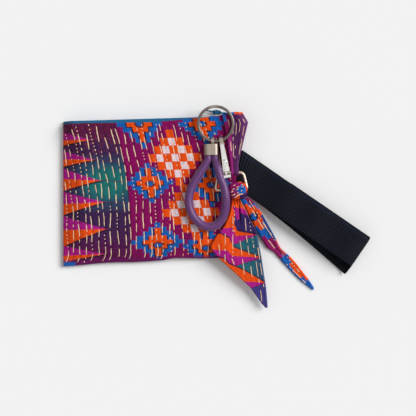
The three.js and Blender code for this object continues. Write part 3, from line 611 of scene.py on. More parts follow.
NARROW_DIAMONDS = [ # middle across and along, cell width and height, size of the heart
    (-2.4, 19.0, 4.6, 5.2, 1.5),
    (1.6, 78.0, 3.6, 5.2, -1.0),
]


def thread_drift(y):
    """How far the woven lines lie to the right at height y, for the mesh."""
    drift = THREAD_LEAN * np.sin(np.clip((DRIFT_START - y) / DRIFT_REACH, -0.4, 1) * np.pi / 2)
    return drift - FOOT_TURN * np.clip(FOOT + 9 - y, 0, 9) ** 2


def frayed(vector, x, y, right, up):
    """Lets the edges of the print waver, by up to half of right and up."""
    return x + right * (noise(vector, 1.3, 1.0) - 0.5), y + up * (noise(vector, 0.9, 1.0) - 0.5)


def steps_away(column, row):
    """How many cells away the middle of a stepped diamond is."""
    return abs(whole(column)) + abs(whole(row))


def medallion(column, row):
    """The stepped orange middle of a diamond, with a spur at its top and foot."""
    spur = (abs(column) < 0.5) * (abs(row) < 3.3)
    return maths("MAXIMUM", steps_away(column, row) < 2.5, spur)


def box_share(x, y, left, right, low, high):
    """1 inside a soft-edged rectangle, 0 outside."""
    return clamped(x - left) * clamped(right - x) * clamped(y - low) * clamped(high - y)


def spike(paint, x, y, start, row, curves, rims, colours):
    """A long point of two colours. curves bend its upper and its lower edge.

    rims gives the width of the dark rim above and below it, and the rim's strength.
    """
    top, meet, foot, tip, tip_level = row
    share = (x - start) / (tip - start)
    upper = top + (tip_level - top) * curves[0](share)
    middle = meet + (tip_level - meet) * share
    lower = foot + (tip_level - foot) * curves[1](share)
    paint.over(INK, (share < 1.0) * (y < upper + rims[0]) * (y > lower - rims[1]) * rims[2])
    inside = (share < 1.0) * (y < upper) * (y > lower)
    paint.over(colours[1], inside)
    paint.over(colours[0], inside * (y > middle))


def bulged(share):
    return share * (1.15 - 0.15 * share)


def straight(share):
    return share


def diamonds(paint, across, y):
    for middle, level, wide, high, heart_drop in DIAMONDS:
        column = (across - middle) / wide
        row = (y - level) / high
        field = steps_away(column, row) < 4.5
        paint.over(BLUE, field)
        for right, up in OUTLINE_SHIFTS:
            outline = medallion((across + right - middle) / wide, (y + up - level) / high)
            paint.over(INK, outline * field * 0.95)
        paint.over(ORANGE, medallion(column, row))
        heart_row = row + heart_drop
        heart = column * column * 2.6 + heart_row * heart_row * 4.5
        paint.over(BLUE, heart < 1.0)
        paint.over(INK, (heart < 2.4) * (heart > 1.0) * 0.85)


def chequers(paint, across, y):
    for middle, level, wide, high, lean in CHEQUERS:
        column = (across - middle + (y - level) * lean) / wide
        row = (y - level) / high
        steps = steps_away(column, row)
        paint.over(ORANGE, steps < 3.5)
        cell = (abs(column - whole(column)) < 0.44) * (abs(row - whole(row)) < 0.46)
        paint.over(PALE, (steps < 2.5) * (maths("PINGPONG", steps, 1.0) < 0.5) * cell)


def long_points(paint, vector, x, y, across):
    """The dark band at the left, with its points of two colours and a glow of teal in the middle."""
    band = across < BAND_EDGE
    level = abs(y - 7) / 26
    up = (y - 7) / 17
    right = (x + 42) / 19
    ground = Paint(DARK_BAND).over(WINE, clamped((y - 38) / 14))
    threads = clamped(sine(across * 2.6) * 2 - 0.8) * clamped((y - 28) / 8)
    ground.over(RED_WARP, threads * clamped(noise(vector, 0.25, 2.0) * 6 - 2.6) * 0.75)
    ground.over(DEEP_PLUM, clamped((-34 - y) / 20) * 0.8)
    ground.over(SLATE, clamped(1.5 - level * level * 1.5) * clamped((x + 78) / 18))
    ground.over(TEAL_GLOW, clamped(1.3 - up * up * 1.3 - right * right * 0.8) * 0.9)
    ground.over(INK, clamped(noise(vector, 0.12, 3.0) * 3 - 1.6) * 0.5)
    paint.over(ground.colour, band)
    paint.over(INK, (abs(across - BAND_EDGE) < 0.35) * 0.5)
    for row in POINTS:
        tip, tip_level = row[3:]
        tie = abs(y - tip_level + (x - tip) * 0.09) < 0.3
        paint.over(WINE, tie * (x > tip) * band * 0.9)
        spike(paint, x, y, BAND_START, row, (bulged, bulged), (0, 1.3, 0.95), (MAGENTA, ORANGE))


def pouch_paint(vector, x, y):
    """The print of the pouch's panels."""
    x, y = frayed(vector, x, y, 1.1, 0.9)
    share = maths("MINIMUM", maths("MAXIMUM", (DRIFT_START - y) / DRIFT_REACH, -0.4), 1.0)
    across = x - THREAD_LEAN * sine(share * (math.pi / 2))
    paint = Paint(PLUM).over(DEEP_PLUM, clamped(noise(vector, 0.06, 3.0) * 2.4 - 0.7) * 0.6)
    diamonds(paint, across, y)
    chequers(paint, across, y)
    # Painted shadow with some dark print: dark patches on the front where the cord's two strands shade it.
    paint.over(srgb(24, 22, 62), box_share(x, y, 46, 51.5, 17, 30) * 0.9)
    paint.over(INK, box_share(x, y, 46.5, 50.5, 4, 16) * 0.45)
    long_points(paint, vector, x, y, across)
    paint.over(srgb(104, 20, 88), clamped((-56.8 - y) / 3) * 0.85)
    return paint.over(BLUE, (x < -71.5) * (y < -60.2))


def tab_paint(vector, x, y):
    """Dark plum with a bright streak along one edge. x runs from -10 to 10 across the tab at any width."""
    # Painted highlight: the tab turns lighter towards its right side, where a fold faces the light.
    paint = Paint(srgb(84, 28, 86)).over(srgb(116, 62, 118), clamped((x - 4.0) / 3) * 0.8)
    paint.over(srgb(52, 20, 66), clamped(noise(vector, 0.3, 3.0) * 4 - 1.9) * 0.6)
    paint.over(srgb(128, 14, 84), (x < -3.6) * (y > 44))
    paint.over(BLUE, (x < -7.4) * (y > 56.5))
    streak = (x < -4.4) * (x > -9.6) * (y < 46)
    paint.over(srgb(172, 34, 128), streak * clamped((x + 9.6) / 2) * 0.9)
    hem_strip = y > 62.6
    paint.over(ORANGE, hem_strip * (x > 1.5))
    return paint.over(BLUE, hem_strip * (x < 1.5))


def wide_paint(vector, x, y):
    """The band of long points again, turned over: orange above magenta."""
    x, y = frayed(vector, x, y, 0.8, 0.8)
    paint = Paint(srgb(34, 98, 112)).over(srgb(54, 74, 116), clamped((x - 80) / 9) * 0.8)
    paint.over(srgb(48, 30, 92), y > -32 + (x - WIDE_START) * (-9.1 / 40.2))
    paint.over(srgb(62, 56, 122), y < -98 + (x - WIDE_START) * (15.2 / 46.8))
    for *row, bend in WIDE_POINTS:
        curves = (lambda share: maths("POWER", clamped(share), bend), straight)
        spike(paint, x, y, WIDE_START, row, curves, (1.1, 0.4, 0.9), (ORANGE, MAGENTA))
    paint.over(ORANGE, (x < 66.7) * (y > -39))
    paint.over(ORANGE, y > -19)
    lean = (x - NECK_CREASE) * 0.45
    paint.over(ORANGE, (x > NECK_CREASE) * (y + lean > -17.6))
    paint.over(MAGENTA, (x > NECK_CREASE) * (x < 78) * (y + lean < -17.2) * (y + lean > -21.4))
    strip = (x > 65.6 - (y + 17) * 0.3) * (x < NECK_CREASE) * (y + lean < -18.5) * (y - lean > -27)
    paint.over(MAGENTA, strip)
    # Painted shade: a dark line along the crease at the neck.
    return paint.over(INK, (abs(x - NECK_CREASE) < 0.45) * (y > -28) * 0.6)


def narrow_paint(vector, x, y):
    """Two stepped diamonds, drawn out along the tail. x runs across it and y along it."""
    x = frayed(vector, x, y, 0.8, 0)[0]
    paint = Paint(RASPBERRY)
    for middle, level, wide, high, heart_size in NARROW_DIAMONDS:
        column, row = (x - middle) / wide, (y - level) / high
        paint.over(BLUE, steps_away(column, row) < 4.5)
        paint.over(ORANGE, steps_away(column, row) < 2.5)
        paint.over(INK, column * column * 2.2 + row * row * 3 < heart_size)
        paint.over(BLUE, steps_away(column * 2.4, row * 2.2) < heart_size)
    paint.over(PLUM, (x > 1.2) * (y < 9.5))
    paint.over(srgb(24, 56, 120), (x > 6.1 - y * 0.15) * (y > 22) * (y < 47))
    paint.over(srgb(206, 84, 70), (x > 10.1 - y * 0.215) * (y > 46) * (y < 62) * 0.75)
    paint.over(BLUE, (x < -3.2) * (y > 62))
    return paint.over(BLUE, y > 91)


def knot_paint(vector, x, y):
    """Plum with one stepped blue figure, and orange where the knot turns over."""
    x = frayed(vector, x, y, 0.6, 0)[0]
    paint = Paint(RASPBERRY).over(DEEP_PLUM, clamped(noise(vector, 0.3, 2.0) * 3 - 1.4) * 0.5)
    paint.over(BLUE, steps_away((x - 73.8) / 2.1, (y + 2.4) / 1.9) < 2.5)
    rim = maths("SQRT", (x - 70.2) * (x - 70.2) + (y + 3) * (y + 3))
    paint.over(ORANGE, (rim > 7.2) * (x > 70.5) * (y > -4.5))
    below = y < -6.5 + (x - 70.6) * 0.45 - (x - 70.6) * (x - 70.6) * 0.035
    paint.over(ORANGE, below * (x < 71.6))
    return paint.over(srgb(60, 20, 80), below * (x > 71.6))


# Materials


def weave_height(x, y, pitch):
    turn = 2 * math.pi / pitch
    return sine(x * turn) * sine(y * turn)


def printed(name, paint_of, roughness=0.8, specular=0.15):
    """Printed cotton whose colour comes from paint_of at the point's place on the cloth."""
    material, shader = new_material(name, roughness, specular)
    vector, x, y = cloth_place(shader)
    speck = noise(vector, 1.6, 2.0)
    paint = paint_of(vector, x, y).over(INK, clamped(speck * 3 - 1.6) * 0.38)
    paint.over(INK, clamped(noise(vector, 0.75, 2.0) * 6 - 3.1) * 0.34)
    paint.over(PALE, clamped(noise(vector, 1.0, 1.0) * 6 - 3.9) * 0.2)
    coat(shader, paint, weave_height(x, y, 0.55) * 0.5 + speck, 0.12, 0.7)
    return material


def thread_material():
    material, shader = new_material("quilting thread", 0.6, sheen=0.2)
    place = object_place(shader)
    paint = Paint(THREAD).over(srgb(206, 160, 130), clamped(noise(place, 160, 2) * 3 - 1.3) * 0.45)
    paint.over(srgb(226, 120, 100), clamped(noise(place, 48, 1) * 5 - 2.9) * 0.75)
    coat(shader, paint, noise(place, 2400, 1), 0.1, 0.5)
    return material


def woven(name, colour, shade, roughness, pitch, depth=0.1):
    """Plain woven cloth or tape, whose cloth map is in millimetres."""
    material, shader = new_material(name, roughness, 0.3, 0.1)
    vector, x, y = cloth_place(shader)
    weave = weave_height(x, y, pitch)
    speck = noise(vector, 0.8, 3.0)
    # The shade colour lies in the weave's low places, as painted shade, and in random specks.
    paint = Paint(colour).over(shade, clamped(0.35 - weave * 0.3) + clamped(speck * 2 - 1.1) * 0.5)
    coat(shader, paint, weave * 0.5 + speck, depth, 0.8)
    return material


def ribbed_webbing():
    """Dark webbing with ribs across it, their crests painted lighter as painted highlight, and a painted
    highlight along a line near one edge.
    """
    material, shader = new_material("ribbed webbing", 0.62, 0.1)
    vector, x, y = cloth_place(shader)
    rib = sine(x * (2 * math.pi / 1.9))
    weft = sine(y * (2 * math.pi / 0.9))
    # Painted highlight: the ribs' crests are lighter than the dark ground between them.
    paint = Paint(srgb(5, 6, 12)).over(srgb(42, 48, 64), clamped(rib * 1.1 - 0.35 + weft * 0.25))
    # Painted highlight: a lighter bluish line near one edge, where the webbing rolls over.
    paint.over(srgb(30, 40, 62), clamped(1 - abs(y - 12.2) / 1.6) * 0.5)
    paint.over(srgb(7, 8, 13), clamped(noise(vector, 0.05, 3.0) * 2 - 0.8) * 0.6)
    coat(shader, paint, rib + weft * 0.3, 0.2, 0.9)
    return material


def metal(name, colour, shade, roughness, scratches=0.3, relief=0.25, grey_from=None):
    """Plated or polished metal. Beyond grey_from, up the frame in millimetres, it is a warm grey."""
    material, shader = new_material(name, roughness, metallic=1.0)
    place = object_place(shader)
    stretch = new_node(place, "Mapping", Vector=place, Scale=(1, 6, 1))
    wear = noise(stretch.outputs["Vector"], 220, 4)
    paint = Paint(colour).over(shade, clamped(noise(place, 60, 3) * 2.4 - 0.9) * 0.6)
    if grey_from is not None:
        paint.over(WARM_GREY_STEEL, clamped((parts_of(place)[1] - grey_from * MM) / (2.5 * MM)))
    feed(shader.inputs["Roughness"], clamped(roughness + (wear - 0.5) * scratches))
    coat(shader, paint, wear, 0.03, relief)
    return material


def braid_material():
    material, shader = new_material("braided cord", 0.42, sheen=0.25)
    vector, x, y = cloth_place(shader)
    speck = noise(vector, 1.2, 3)
    strands = sine(x * 2 + y * 1.7) * sine(x * 2 - y * 1.7)
    paint = Paint(srgb(106, 46, 118)).over(srgb(46, 16, 62), clamped(0.45 - strands) * 0.8)
    paint.over(srgb(60, 26, 78), clamped(sine(x * 0.9 + y * 2.6) * 1.6 - 0.9) * 0.6)
    paint.over(srgb(158, 112, 166), clamped(speck * 3 - 1.8) * 0.5)
    coat(shader, paint, speck, 0.1, 0.6)
    return material


def plain(name, colour, shade, roughness, specular, grain, depth, strength):
    """Tape or moulded plastic, for pieces without a cloth map."""
    material, shader = new_material(name, roughness, specular)
    speck = noise(object_place(shader), *grain)
    coat(shader, Paint(colour).over(shade, clamped(speck * 2 - 0.7)), speck, depth, strength)
    return material


COTTON = printed("printed cotton", pouch_paint, 0.82, 0.12)
TAB_COTTON = printed("tab cotton", tab_paint)
WIDE_COTTON = printed("wide tail cotton", wide_paint)
NARROW_COTTON = printed("narrow tail cotton", narrow_paint)
KNOT_COTTON = printed("knot cotton", knot_paint)
STITCH = thread_material()
TAPE = woven("zip tape", srgb(18, 108, 152), srgb(12, 76, 116), 0.75, 0.8)
# Painted shade: the loose flap's tape is a darker copy of the zip tape.
SHADED_LOOSE_TAPE = woven("shaded loose tape", srgb(14, 88, 126), srgb(6, 56, 88), 0.8, 0.8, 0.2)
NODE_TAPE = plain("plain tape", srgb(18, 108, 152), srgb(12, 76, 116), 0.75, 0.3, (900, 3), 0.1, 0.7)
TEETH = plain("moulded teeth", srgb(24, 92, 132), srgb(24, 92, 132), 0.4, 0.5, (700, 2), 0.02, 0.3)
LINING = woven("lining cotton", srgb(42, 34, 70), srgb(28, 24, 50), 0.85, 0.6)
WEBBING = ribbed_webbing()
BRAID = braid_material()
NICKEL = metal("nickel plate", srgb(196, 190, 184), srgb(150, 144, 138), 0.28)
PALE_NICKEL = metal("pale nickel", srgb(204, 184, 168), srgb(166, 146, 130), 0.36)
# Up the frame beyond 36 mm, at its eye end, the hook turns a warm grey.
POLISHED = metal("polished steel", srgb(244, 243, 240), srgb(204, 199, 193), 0.2, 0.06, 0.05, grey_from=36)
RING_STEEL = metal("ring steel", srgb(120, 109, 104), srgb(84, 76, 73), 0.32)
SATIN = metal("satin cap", srgb(166, 153, 142), srgb(140, 128, 119), 0.42)


# Pouch

LINES = [-110 + LINE_PITCH * k + chance.uniform(-1.1, 1.1) for k in range(41)]


def ease(t):
    return np.sin(np.clip(t, 0, 1) * np.pi / 2)


def left_side(y):
    return -HALF_TOP - LEFT_LEAN * (TOP - y) / (TOP - FOOT)


def right_side(y):
    return HALF_TOP - RIGHT_LEAN * (TOP - y) / (TOP - FOOT)


def front_edge(x):
    """The front panel's top edge, which drops below the tape's fold towards the left."""
    rise = (EAR_TOP - TOP) * ease((x - HALF_TOP + EAR_LENGTH) / EAR_SLOPE)
    tip = np.clip((x - HALF_TOP + EAR_TIP_LENGTH) / EAR_TIP_LENGTH, 0, 1)
    return TOP - np.interp(x, *EDGE_SLACK) + rise - EAR_TIP_DROP * tip * tip


def foot_edge(x):
    return FOOT + np.interp(x, *FOOT_LIFT) + 0.3 * np.sin(x / 9)


def front_height(x, y):
    """Outer face of the front panel before its quilting."""
    y = np.minimum(y, TOP)
    below = ease((TOP - TAPE_DEPTH - y) / EDGE_RAMP)
    ramp = MOUTH_RAMP + (EDGE_RAMP - MOUTH_RAMP) * below
    full = MOUTH_TOP + (CROWN_TOP - MOUTH_TOP) * below - SEAM_TOP
    sides = ease((x - left_side(y)) / ramp) * ease((right_side(y) - x) / ramp)
    return SEAM_TOP + full * sides * ease((y - FOOT) / EDGE_RAMP)


def line_wander(line, y):
    return 0.5 * np.sin(y / 11 + line * 1.7) + 0.25 * np.sin(y / 4.3 + line)


def quilt_relief(x, y):
    """Puffs between the quilting lines, with puckers along them and soft folds."""
    across = x - thread_drift(y)
    nearest = np.full(np.shape(across), 99.0)
    for line in LINES:
        nearest = np.minimum(nearest, np.abs(across - line - line_wander(line, y)))
    groove = -LINE_DEPTH * np.exp(-(nearest / LINE_WIDTH) ** 2)
    pucker = 0.19 * np.sin(y * 1.15 + 2.2 * np.sin(x * 0.23)) * np.exp(-(nearest / 2.2) ** 2)
    fold = 0.35 * np.sin(x * 0.085 + y * 0.06 + 1.1) * np.sin(y * 0.075 - x * 0.03)
    return groove + pucker + fold - 0.1


def quilt_surface(x, y):
    inset = np.minimum.reduce([x - left_side(y), right_side(y) - x, y - foot_edge(x), front_edge(x) - y])
    return front_height(x, y) + quilt_relief(x, y) * np.clip(inset / 5, 0, 1)


def surface_up(x, y):
    step = 0.5
    slope_x = (front_height(x + step, y) - front_height(x - step, y)) / (2 * step)
    slope_y = (front_height(x, y + step) - front_height(x, y - step)) / (2 * step)
    return units(at(-slope_x, -slope_y, 1.0))


def crowd(t):
    """Places from 0 to 1 that lie closer together at both ends."""
    return 0.5 * t + 0.25 * (1 - np.cos(np.pi * t))


def panel_grid(size, edge_of):
    """x and y over a panel, and how far the cloth turns over at its seams."""
    u, v = grid(*size)
    across, down = crowd(u), crowd(v)
    edge = edge_of(-HALF_TOP + 2 * HALF_TOP * across)
    y = edge + (FOOT - edge) * down
    level = np.minimum(y, TOP)
    x = left_side(level) + (right_side(level) - left_side(level)) * across
    y = y + (foot_edge(x) - FOOT) * np.clip((FOOT + FOOT_BAND - y) / FOOT_BAND, 0, 1)
    wide, high = PANEL_SPAN
    inset = np.minimum.reduce([across * wide, (1 - across) * wide, down * high, (1 - down) * high])
    t = np.clip(1 - inset / EDGE_ROUND, 0, 0.999)
    return x, y, inset, EDGE_ROUND * 0.8 * (1 - np.sqrt(1 - t**2))


def quilted(name, node, top, under, maps):
    cloth_piece(name, [node], top, under, COTTON, "pouch", "quilted_cotton", maps)


def front_quilt():
    x, y, inset, turn = panel_grid(FRONT_GRID, front_edge)
    under = front_height(x, y) - PANEL_THICK + turn * 0.6
    top = quilt_surface(x, y) - turn
    quilted("quilted_front", "front_panel", at(x, y, top), at(x, y, under), both_sides(x, y))


def back_quilt():
    x, y, inset, turn = panel_grid(BACK_GRID, lambda x: TOP - BACK_DROP)
    groove = np.clip(-quilt_relief(x, y), 0, 0.4) * np.clip(inset / 6, 0, 1)
    top = PANEL_THICK - turn * 0.6
    quilted("quilted_back", "back_panel", at(x, y, top), at(x, y, turn + groove), both_sides(-x, y))


def dashes(start, end, runs, pitch=0.9, least=7):
    """Running stitches along a line: long ones, short ones, rows of dots and bare stretches."""
    found = []
    at_length = start + chance.uniform(0, 5)
    while at_length < end - 1:
        kind = chance.choices(("long", "short", "dots", "bare"), runs)[0]
        if kind == "bare":
            at_length += chance.uniform(3, 8)
            continue
        if kind == "dots":
            lengths = [chance.uniform(1.2, 1.8) for _ in range(chance.randint(2, 4))]
        elif kind == "short":
            lengths = [chance.uniform(2.2, 4.4)]
        else:
            lengths = [chance.uniform(6.5, 15)]
        for length in lengths:
            if at_length < end - 1:
                last = min(at_length + length, end)
                found.append(np.linspace(at_length, last, max(least, int((last - at_length) / pitch) + 2)))
            at_length += length + chance.uniform(1.2, 2.4)
    return found


def stitch_mesh(name, paths, body, slot, half=STITCH_HALF, rise=STITCH_RISE):
    """Raised stitches: each path is a row of points on the cloth, with the cloth's way up there."""
    turn = circle(STITCH_SIDES)[:, None]
    points, faces = [], []
    for path, up in paths:
        count = len(path)
        t = np.linspace(-1, 1, count)[:, None]
        side = units(np.cross(units(np.gradient(path, axis=0)), up))
        wander = 0.16 * half * np.sin(t * count / 3 + chance.uniform(0, 6))
        width = half * (chance.uniform(0.72, 1.1) + 0.12 * np.sin(t * count / 2))
        swell = np.sqrt(np.clip(1 - np.abs(t) ** 5, 0.02, 1))
        middle = path + side * wander + up * rise * (1.2 * swell - 0.75)
        ring = (side * width * swell)[:, None] * np.cos(turn) + (up * rise * swell)[:, None] * np.sin(turn)
        surface = (middle[:, None] + ring).reshape(-1, 3)
        faces += [[len(points) + k for k in face] for face in tube_faces(surface, count, STITCH_SIDES)]
        points += list(surface)
    make(name, points, faces, STITCH, body, slot)


def pouch_stitches():
    paths = []
    for line in LINES:
        for y in dashes(FOOT + 0.5, EAR_TOP, POUCH_RUNS, 0.8):
            x = line + line_wander(line, y) + thread_drift(y)
            inside = (x > left_side(y) + 0.8) & (x < right_side(np.minimum(y, TOP)) - 0.8)
            inside &= (y < front_edge(x) - 0.6) & (y > foot_edge(x) + 1)
            if inside.all():
                paths.append((at(x, y, quilt_surface(x, y)), surface_up(x, y)))
    stitch_mesh("pouch_stitches", paths, "pouch", "quilted_cotton")


front_quilt()
back_quilt()
pouch_stitches()


# Zip tapes and linings


def tape_piece(name, nodes, section, low, high, drop=np.zeros_like):
    """A folded tape: its section in Y and Z, carried along the zip. It sinks by drop of its place there."""
    section = np.array(section, float)
    x = np.linspace(low, high, TAPE_STEPS + 1)[:, None]
    points = at(x, section[:, 0], section[:, 1] - drop(x)).reshape(-1, 3)
    faces = tube_faces(points, len(x), len(section))
    maps = at(points[:, 0], points[:, 1] + points[:, 2])
    piece = make(name, points, faces, TAPE, "pouch", "zip_tape", maps, smooth=False)
    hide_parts(*nodes)
    return piece


def front_tape():
    low, high = node_box("zip_tape_front")
    inner, fold, face = low[1], TAPE_FOLD, node_box("zip_tape_back")[1][1]
    thick = TAPE_THICK
    step = low[2] + 0.3
    piece = tape_piece("front_tape", ["zip_tape_front", "zip_tape_end"], [
        (face - thick, low[2]),
        (face, low[2]),
        (face, step),
        (fold - 0.2, step),
        (fold, step + 0.3),
        (fold, high[2] - 0.3),
        (fold - 0.2, high[2]),
        (inner, high[2]),
        (inner, high[2] - thick),
        (fold - thick, high[2] - thick),
        (fold - thick, step + thick),
        (face - thick, step + thick),
    ], TAPE_START, high[0], lambda x: front_height(0.0, TOP) - front_height(x, TOP))


def back_tape():
    low, high = node_box("zip_tape_back")
    thick = TAPE_THICK
    tape_piece("back_tape", ["zip_tape_back"], [
        (low[1], low[2]),
        (high[1], low[2]),
        (high[1], high[2]),
        (high[1] - thick, high[2]),
        (high[1] - thick, low[2] + thick),
        (low[1], low[2] + thick),
    ], low[0], high[0])


def tape_flap():
    """The zip tape's loose end: a flap beside the ear, and a frayed strip that runs out to the left."""
    low, high = node_box("zip_tape_tail")
    stations = low[0] + np.array([0, 2, 7.6, 9.0, 11.5, 14.5, 16.4, high[0] - low[0]])
    foot = low[1] + np.array([6.0, 6.0, 4.9, 0.1, 0, 0, 0, 0])
    head = low[1] + np.array([6.8, 6.9, 6.2, 6.5, 6.9, 5.9, 3.7, 3.3])
    u, v = grid(*FLAP_GRID)
    x = low[0] + (high[0] - low[0]) * u
    bottom = np.interp(x, stations, foot)
    ragged = 0.24 * np.sin(x * 7.3) + 0.2 * np.sin(x * 17.1 + 1)
    y = bottom + (np.interp(x, stations, head) + ragged - bottom) * v
    loose = np.clip((FLAP_END - x) / 4, 0, 1) * np.clip((y - TOP) / 2, 0, 1)
    wave = (0.5 * np.sin(x * 1.1) + 0.3 * np.sin(x * 2.7 + y)) * loose
    sides = at(x, y, high[2] - 0.05 + wave), at(x, y, low[2] + 0.05 + wave)
    cloth_piece("tape_flap", ["zip_tape_tail"], *sides, SHADED_LOOSE_TAPE, "pouch", "zip_tape", both_sides(x, y))


def lining(name, node, face):
    """A flat lining whose outline keeps inside the pouch's seams. face gives its upper side."""
    low, high = node_box(node)
    u, v = grid(*LINING_GRID)
    y = high[1] + (low[1] - high[1]) * v
    left, right = left_side(y) + LINING_INSET, right_side(y) - LINING_INSET
    x = left + (right - left) * u
    z = face(x, y)
    sides = at(x, y, z), at(x, y, z - LINING_THICK)
    piece = cloth_piece(name, [node], *sides, LINING, "pouch", "lining_cotton", both_sides(x, y))
    width = float(np.mean(right - left)) * MM


def under_front(x, y):
    return front_height(x, y) - PANEL_THICK - LINING_CLEARANCE


def over_back(x, y):
    return node_box("back_lining")[1][2]


front_tape()
back_tape()
lining("front_lining_cloth", "front_lining", under_front)
lining("back_lining_cloth", "back_lining", over_back)
tape_flap()


# Tab, from the ear's edge round the D-ring's bar and back

HINGE_Y = joint_place("tab_lift")[1]
HINGE_Z = node_box("ring_tab")[0][2]
BAR_Y, BAR_Z = joint_place("d_ring_lift")[1:]
BAR_LOOP = WIRE_RADIUS + TOUCH_GAP + TAB_LAYER / 2
SHOULDER_Y = HINGE_Y - TAB_SHOULDER_DROP
NECK_Y = BAR_Y + TAB_NECK


def tab_line():
    """The middle of the tab's cloth in Y and Z, from the seam out to the bar and back over itself."""
    low = HINGE_Z + TAB_LAYER / 2
    high = low + TAB_LAYER + 0.05
    root = node_box("tab_root")[0][2]
    outer = HINGE_Y - TAB_LAYER / 2
    edge = outer + TAB_LAYER
    bend = [(outer, root), (outer, low - 0.9), (outer - 0.35, low - 0.2), (outer - 1.2, low)]
    run = [(y, low) for y in np.linspace(outer - 3, NECK_Y, 12)]
    turn = np.linspace(-0.5, -1.5, 15) * np.pi
    loop = [(BAR_Y + BAR_LOOP * math.cos(a), BAR_Z + BAR_LOOP * math.sin(a)) for a in turn]
    back = [(y, high) for y in np.linspace(NECK_Y, outer - 2.2, 12)]
    over = [(outer - 0.2, high - 0.1), (outer + 0.75, high - 0.8), (edge, high - 2), (edge, root)]
    line = np.array(bend + run + loop + back + over)
    return smooth_curve(np.column_stack([np.zeros(len(line)), line]), TAB_STEPS)[:, 1:]


def tab_width(y):
    return np.interp(y, [NECK_Y, SHOULDER_Y, HINGE_Y], [TAB_END_WIDTH, TAB_SHOULDER_WIDTH, TAB_ROOT_WIDTH])


def tab_middle(y):
    return np.interp(y, [NECK_Y, SHOULDER_Y, HINGE_Y], [TAB_END_X, TAB_X + TAB_SHOULDER_SHIFT, TAB_X])


def tab_puff(share, y):
    """The tab's relief between its stitch lines, which run together towards the bar."""
    groove = sum(-0.28 * np.exp(-((share - line) / 0.05) ** 2) for line in TAB_LINES)
    fold = 0.25 * np.sin(share * 5 + y * 0.1)
    return (groove + fold) * np.clip((y - BAR_Y) / 12, 0, 1)


def tab_cloth():
    line = tab_line()
    out = way_out(line)
    share = np.linspace(-1, 1, TAB_COLUMNS)
    y = line[:, :1]
    x = tab_middle(y) + share * tab_width(y) / 2
    upper_half = np.linspace(0, 1, len(line))[:, None] > 0.5
    thin = TAB_LAYER * (0.5 - 0.2 * np.abs(share) ** 8) - 0.06
    sides = []
    for side, puff in ((1, tab_puff(share, y) * upper_half), (-1, 0)):
        spot = line[:, None] - side * out[:, None] * np.broadcast_to(thin + puff, x.shape)[..., None]
        sides.append(at(x, spot[..., 0], spot[..., 1]))
    maps = both_sides(share * 10, y)
    piece = cloth_piece("tab_cloth", ["tab_root", "ring_tab"], *sides, TAB_COTTON, None, "tab_cotton", maps)
    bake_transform(piece)


def tab_stitches():
    paths = []
    top = HINGE_Z + 2 * TAB_LAYER + 0.05
    for line in TAB_LINES:
        for y in dashes(NECK_Y + 2, SHOULDER_Y + 3.5, TAB_RUNS):
            x = tab_middle(y) + line * tab_width(y) / 2
            paths.append((at(x, y, top + 0.02 + tab_puff(line, y)), UP))
    stitch_mesh("tab_stitches", paths, "tab", "tab_cotton", half=0.3, rise=0.2)


tab_cloth()
tab_stitches()


# Strap, drawn along its own length: s along it from the seam, t across it

STRAP_TURN = math.radians(STRAP_ANGLE)
SEAM_Y = TOP - STRAP_SEAM_DROP
STRAP_LINE = [
    (0.8, 1.2), (16, 1.2), (31, 1.2), (60, 1.2), (100, 1.2), (120, 1.2),
    (125.4, 1.9), (127.9, 4.2), (127.9, 7.0), (125.4, 9.2), # the turn at its end
    (120, 9.9), (98, 9.9), (74, 9.9), (60, 9.6), (49, 7.6), (41, 5.2), (35, 3.7),
    (30, 3.35), (16, 3.3), (0.8, 3.3),
]


def strap_place(s, t, z):
    x = right_side(SEAM_Y) + s * math.cos(STRAP_TURN) - t * math.sin(STRAP_TURN)
    return at(x, SEAM_Y + s * math.sin(STRAP_TURN) + t * math.cos(STRAP_TURN), z)


def webbing_strap():
    line = smooth_curve([(s, 0, z) for s, z in STRAP_LINE], STRAP_STEPS)[:, [0, 2]]
    out = way_out(line)
    reach = reach_of(line)
    t = np.linspace(-1, 1, STRAP_COLUMNS)
    middle = (line[:, 1].min() + line[:, 1].max()) / 2
    share = np.clip((line[:, 0] - STRAP_HINGE) / (line[:, 0].max() - STRAP_HINGE), 0, 1)
    lower = np.clip((middle - line[:, 1]) / 3 + 0.5, 0, 1)
    skew = -STRAP_SKEW * share**1.4 * lower
    across = t * STRAP_WIDTH / 2 + skew[:, None]
    rib = 0.09 * np.sin(reach * 2 * np.pi / RIB_PITCH)
    thick = (WEBBING_THICK / 2 - 0.12) * (1 - 0.35 * np.abs(t) ** 14) + rib[:, None]
    seam = np.tan(STRAP_TURN + math.atan2(RIGHT_LEAN, TOP - FOOT))
    sides = []
    for side in (1, -1):
        spot = line[:, None] - side * out[:, None] * thick[..., None]
        cut = np.clip(1 - spot[..., 0] / 8, 0, 1) * (across * seam + 0.2)
        sides.append(strap_place(spot[..., 0] + cut, across, spot[..., 1]))
    nodes = ["strap_root", "wrist_strap"]
    maps = both_sides(reach[:, None], t * 15)
    piece = cloth_piece("webbing_strap", nodes, *sides, WEBBING, None, "webbing", maps)
    start, end = (strap_place(s, 0, 2.2) * MM for s in (STRAP_HINGE - 1.5, STRAP_HINGE + 2.5))
    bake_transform(piece)


webbing_strap()


# Zip chain, rings, hook and fob


def dress(node, material, bevel):
    """Gives a CAD node its finish and softens its edges."""
    piece = frame["nodes"][node]
    piece.data.materials.clear()
    piece.data.materials.append(material)
    if bevel:
        edge = piece.modifiers.new("edges", "BEVEL")
        edge.width = bevel * MM
        edge.segments = 3
        edge.limit_method = "ANGLE"
        edge.angle_limit = math.radians(32)


